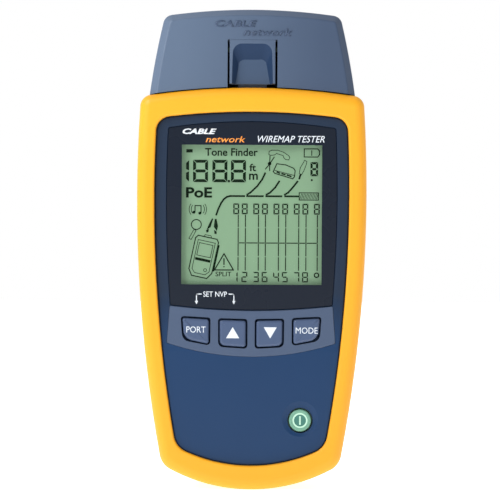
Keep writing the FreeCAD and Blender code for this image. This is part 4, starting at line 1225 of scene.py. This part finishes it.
    def little_tester(self, y):
        """A small picture of the tester, leaning to the right."""
        fine = sizes().fine / MM
        lean = math.radians(-12)
        middle_x, middle_z = -16.0, 77.4
        marks = [
            frame_outline("shape", [
                (-3.9, 5.6), (-3.2, 6.6), (3.2, 6.6), (3.9, 5.6), (3.9, -4.9), (2.6, -6.9),
                (-2.6, -6.9), (-3.9, -4.9),
            ], fine * 1.6, y),
            frame_outline("window", [(-2.3, 4.3), (2.3, 4.3), (2.3, 0.1), (-2.3, 0.1)], fine, y),
            frame_outline("face", [
                (-2.9, 5.2), (2.9, 5.2), (2.9, -4.6), (1.8, -5.8), (-1.8, -5.8), (-2.9, -4.6),
            ], fine, y),
            frame_outline("adapter", [(-1.3, 6.6), (1.3, 6.6), (1.0, 7.3), (-1.0, 7.3)], fine, y),
            stroke("grip", [(4.25, 4.6), (4.25, -3.9)], fine * 2.2, y),
            hoop("key", 1.5, -4.3, 0.5, fine, y, sides=12),
        ]
        marks += row_of(stroke("key", [(-2.2, -1.1), (-1.7, -1.1)], 0.9, y), (1.3, 2.6, 3.9))
        made = join("little_tester", marks)
        place = Matrix.Translation(millimetres(middle_x, 0, middle_z))
        made.matrix_world = place @ Matrix.Rotation(-lean, 4, "Y")
        return settle(made)

    def execute(self, context):
        tone = shades()
        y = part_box("lcd_cell")[0][1] / MM - 0.01
        words = [
            lettering("word", "Tone Finder", -15.67, y, 111.0, 2.6, 17.6, bold=0.02),
            lettering("word", "PoE", -21.93, y, 97.03, 3.5, 8.7, bold=0.03),
            lettering("word", "ft", -0.83, y, 105.95, 2.5, 2.2, bold=0.02),
            lettering("word", "m", -0.97, y, 103.1, 2.1, 2.95, bold=0.02),
            lettering("word", "SPLIT", -11.97, y, 70.87, 1.55, 5.3, bold=0.01),
        ]
        marks = words + self.figures(y) + self.wires(y) + self.pictures(y) + [self.little_tester(y)]
        display = thicken(join("display_marks", marks), sizes().ink / MM)
        dark = finish_of(
            "Display Segments", tone.segment, uneven=0.15, patches=120, depth=0.001, specular=0.1
        )
        finished(display, dark, "tester")
        return {"FINISHED"}


TOP_COLUMNS = (-5.17, -2.33, 1.5, 4.4, 8.23, 11.13, 15.0, 17.87, 21.7)
WIRE_COLUMNS = (-4.47, -2.07, 2.27, 4.6, 8.97, 11.37, 15.7, 18.13, 21.9)


class TESTER_OT_coax(bpy.types.Operator):
    """Models the two threaded coax connectors"""

    bl_idname = "tester.coax"
    bl_label = "Coax Connectors"

    def barrel(self):
        """A neck and a bored barrel with a thread, mouth upwards, its face at the origin."""
        pitch = sizes().thread / MM
        root, crest, bore, reach, neck = 4.28, 4.76, 3.9, 9.5, 3.2
        barrel = drum("barrel", root, (0, 0, -neck), (0, 0, reach), 64)
        pick(barrel, "FACE", facing((0, 0, 1)))
        inset(root - bore)
        pull(0, 0, -6.0)
        leave()
        first, last, steps = 0.5, reach - 0.35, 48
        thread = patch("thread", [(0, 0)] * 4, 0)
        pick(thread, "FACE", lambda f: True)
        bpy.ops.mesh.delete(type="ONLY_FACE")
        leave()
        outline = [
            (root - 0.15, 0), (crest, pitch * 0.42), (crest, pitch * 0.55),
            (root - 0.15, pitch * 0.97),
        ]
        for vertex, (r, z) in zip(thread.data.vertices, outline):
            vertex.co = millimetres(r, 0, first + z)
        apply(thread, "SCREW", angle=math.tau, screw_offset=pitch * MM,
              iterations=int((last - first) / pitch - 1), steps=steps, render_steps=steps,
              axis="Z", use_merge_vertices=False)
        edit(thread, "EDGE")
        bpy.ops.mesh.select_all(action="SELECT")
        bpy.ops.mesh.fill_holes(sides=4)
        leave()
        return join("barrel", [barrel, outward(thread)])

    def connector(self, name, node, body, barrel, low, high):
        """A barrel in its place, on a square base between two corners."""
        base = block("base", low, high)
        bevel_edges(base, along((0, 0, 1)), 0.8, 4)
        bevel_edges(base, lambda e: True, 0.15, 1)
        made = smooth(join(name, [base, barrel]), 32)
        finished(made, bpy.data.materials["Nickel Plate"], body)
        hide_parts(node)

    def execute(self, context):
        first = self.barrel()
        second = turned_copy(first, "barrel", Vector(), millimetres(1.5, 1.0, 137.5))
        first.location = millimetres(18.0, 1.8, 128.0)
        settle(first)
        self.connector(
            "coax_barrel", "coax_connector", "tester", first,
            (12.0, -4.2, 113.0), (24.0, 7.8, 125.0),
        )
        self.connector(
            "adapter_coax_barrel", "adapter_coax_connector", "adapter_body", second,
            (-4.5, -5.0, 137.5), (7.5, 7.0, 146.0),
        )
        return {"FINISHED"}


class TESTER_OT_cells(bpy.types.Operator):
    """Models the two battery cells with their printed jackets"""

    bl_idname = "tester.cells"
    bl_label = "Battery Cells"

    def cell(self, name, low, high):
        """One cell between the corners of its box, nub upwards: jacket, crimped ends and nub."""
        radius, nub = 7.25, 1.0
        x, y = [(low[i] + high[i]) / 2 / MM for i in (0, 1)]
        can = drum(name, radius, (x, y, low[2] / MM), (x, y, high[2] / MM - nub), 56)
        for up in (1, -1):
            end = facing((0, 0, up), FLAT)
            pick(can, "FACE", end)
            round_off(0.45, 3)
            leave()
            pick(can, "FACE", end)
            inset(0.9)
            inset(0.25, -0.3)
            if up > 0:
                inset(2.6)
                pull(0, 0, nub + 0.3)
                inset(0.3)
            leave()
        return smooth(outward(can), 35)

    def execute(self, context):
        boxes = [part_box(node) for node in ("battery_left", "battery_right")]
        centres = [(Vector(low) + Vector(high)) / 2 for low, high in boxes]
        left = self.cell("cell_left", *boxes[0])
        right = turned_copy(left, "cell_right", *centres)
        for piece, node, (low, high), nub_up in (
            (left, "battery_left", boxes[0], True),
            (right, "battery_right", boxes[1], False),
        ):
            finished(piece, cell_jacket(low[2] / MM, high[2] / MM, nub_up), "tester")
            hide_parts(node)
        return {"FINISHED"}


def cell_jacket(low, high, nub_up):
    """A printed jacket in two colours with bare metal at both ends, laid out along the cell."""
    name = "Cell Jacket " + ("Up" if nub_up else "Down")
    material = finish_of(name, (0.12, 0.2, 0.36), roughness=0.3, depth=0.001)
    tree = material.node_tree
    parts = split_place(tree, tree.nodes.new("ShaderNodeTexCoord").outputs["Object"])
    ramp = tree.nodes.new("ShaderNodeValToRGB")
    ramp.color_ramp.interpolation = "CONSTANT"
    bottom, top = (low, high) if nub_up else (high, low)
    tree.links.new(ranged(tree, parts["Z"], bottom, top), ramp.inputs["Fac"])
    metal = linear((0.8, 0.8, 0.8))
    stops = [
        (0.0, metal), (0.035, linear((0.12, 0.2, 0.36))), (0.62, linear((0.9, 0.9, 0.9))),
        (0.655, linear((0.75, 0.33, 0.12))), (0.935, metal),
    ]
    elements = ramp.color_ramp.elements
    while len(elements) < len(stops):
        elements.new(0.5)
    for element, (place, shade) in zip(elements, stops):
        element.position = place
        element.color = shade
    marks = next(node for node in tree.nodes if node.type == "GROUP" and "Colour" in node.inputs)
    tree.links.new(ramp.outputs["Color"], marks.inputs["Colour"])
    return material


class TESTER_OT_label(bpy.types.Operator):
    """Prints the rating label on the back"""

    bl_idname = "tester.label"
    bl_label = "Rating Label"

    def execute(self, context):
        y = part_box("rating_label")[1][1] / MM - 0.005
        marks = [
            lettering("word", "CABLE TESTER", 17.0, y, 105.8, 2.6, 25.0, rear=True, bold=0.02),
            lettering("word", "2 x 1.5 V  AA", 17.0, y, 101.2, 1.9, 15.0, rear=True),
            lettering("word", "NETWORK   PHONE   COAX", 17.0, y, 97.2, 1.7, 26.0, rear=True),
        ]
        for z in (104.4, 100.0, 95.9):
            marks.append(stroke("rule", [(-17.0, z), (17.0, z)], 0.25, y))
        for i in range(3):
            z = 93.2 - i * 2.4
            marks.append(stroke("rule", [(-17.0 + i * 5, z), (17.0, z)], 0.7, y))
        label = join("label_print", marks)
        thicken(label, 0.03, rear=True)
        dark = finish_of("Label Ink", (0.1, 0.11, 0.13), depth=0.001)
        finished(label, dark, "tester")
        return {"FINISHED"}


# ---- stage -----------------------------------------------------------------------------------
class TESTER_OT_stage(bpy.types.Operator):
    """Sets the floor, the studio lights and the camera"""

    bl_idname = "tester.stage"
    bl_label = "Stage"

    def area(self, name, place, target, size, power):
        """One soft square light."""
        deselect()
        bpy.ops.object.light_add(type="AREA", location=place)
        lamp = bpy.context.object
        lamp.name = name
        lamp.data.shape = "SQUARE"
        lamp.data.size = size
        lamp.data.energy = power
        aim = Vector(target) - Vector(place)
        lamp.rotation_euler = aim.to_track_quat("-Z", "Y").to_euler()

    def execute(self, context):
        setting = context.scene.tester_stage
        context.scene.view_settings.view_transform = "Standard"
        world = bpy.data.worlds.new("Studio")
        context.scene.world = world
        world.use_nodes = True
        tree = world.node_tree
        towards = put(tree, "TexCoord").outputs["Generated"]
        split = put(tree, "SeparateXYZ", {0: towards}).outputs
        room = put(tree, "MapRange", {
            "Value": split["Y"], "From Min": -0.35, "From Max": 0.25,
            "To Min": setting.ambient, "To Max": setting.behind,
        })
        sideways = put(tree, "MapRange", {
            "Value": split["X"], "From Min": -1.0, "To Min": 1.1, "To Max": 0.75,
        })
        both = put(
            tree, "Math", {0: room.outputs["Result"], 1: sideways.outputs["Result"]}, "MULTIPLY"
        )
        seen = put(tree, "LightPath").outputs["Is Camera Ray"]
        level = put(tree, "Mix", {"Factor": seen, "A": both.outputs[0], "B": 1.0})
        background = tree.nodes["Background"]
        feed(tree, background, {"Color": (1, 1, 1, 1), "Strength": level.outputs["Result"]})
        deselect()
        bpy.ops.mesh.primitive_plane_add(size=6, location=(0, 0, 0))
        floor = named("studio_floor")
        settle(floor)
        pale = (0.97, 0.97, 0.97)
        wear(floor, finish_of("Studio Floor", pale, roughness=0.8, uneven=0.0, glow=0.9))
        middle = millimetres(setting.centre_x / MM, 0, setting.centre_z / MM)
        self.area("key_light", (-0.30, -0.30, 0.40), middle, 0.3, 2.05)
        self.area("fill_light", (0.6, -0.8, 0.25), middle, 0.6, 0.3)
        front = -18 * MM
        sensor = 36
        distance = setting.frame_height * setting.lens / sensor
        deselect()
        bpy.ops.object.camera_add(location=(setting.centre_x, front - distance, setting.centre_z))
        camera = bpy.context.object
        camera.name = "camera"
        camera.data.lens = setting.lens
        camera.data.clip_start, camera.data.clip_end = 0.01, 20
        camera.rotation_euler = (math.pi / 2, setting.roll, 0)
        context.scene.camera = camera
        return {"FINISHED"}


# ---- add-on ----------------------------------------------------------------------------------
OPERATORS = (
    TESTER_OT_casing,
    TESTER_OT_insides,
    TESTER_OT_display,
    TESTER_OT_border,
    TESTER_OT_segments,
    TESTER_OT_adapter,
    TESTER_OT_latch,
    TESTER_OT_keys,
    TESTER_OT_power,
    TESTER_OT_coax,
    TESTER_OT_cells,
    TESTER_OT_label,
    TESTER_OT_stage,
)


class TESTER_PT_pieces(bpy.types.Panel):
    """Lists the tester's pieces and settings"""

    bl_idname = "TESTER_PT_pieces"
    bl_label = "Network Cable Tester"
    bl_space_type = "VIEW_3D"
    bl_region_type = "UI"
    bl_category = "Cable Tester"

    def draw(self, context):
        layout = self.layout
        for operator in OPERATORS:
            layout.operator(operator.bl_idname)
        for label, group in (
            ("Colours", context.scene.tester_finish),
            ("Sizes", context.scene.tester_sizes),
            ("Stage", context.scene.tester_stage),
        ):
            box = layout.box()
            box.label(text=label)
            for field in group.bl_rna.properties:
                if field.identifier not in ("rna_type", "name"):
                    box.prop(group, field.identifier)


CLASSES = (TesterFinish, TesterSizes, TesterStage, *OPERATORS, TESTER_PT_pieces)


def register():
    for cls in CLASSES:
        bpy.utils.register_class(cls)
    bpy.types.Scene.tester_finish = PointerProperty(type=TesterFinish)
    bpy.types.Scene.tester_sizes = PointerProperty(type=TesterSizes)
    bpy.types.Scene.tester_stage = PointerProperty(type=TesterStage)


def unregister():
    del bpy.types.Scene.tester_stage
    del bpy.types.Scene.tester_sizes
    del bpy.types.Scene.tester_finish
    for cls in reversed(CLASSES):
        bpy.utils.unregister_class(cls)


def main():
    """Builds the whole tester."""
    register()
    bpy.ops.tester.casing()
    bpy.ops.tester.insides()
    bpy.ops.tester.display()
    bpy.ops.tester.border()
    bpy.ops.tester.segments()
    bpy.ops.tester.adapter()
    bpy.ops.tester.latch()
    bpy.ops.tester.keys()
    bpy.ops.tester.power()
    bpy.ops.tester.coax()
    bpy.ops.tester.cells()
    bpy.ops.tester.label()
    bpy.ops.tester.stage()
    deselect()


if __name__ == "__main__":
    main()
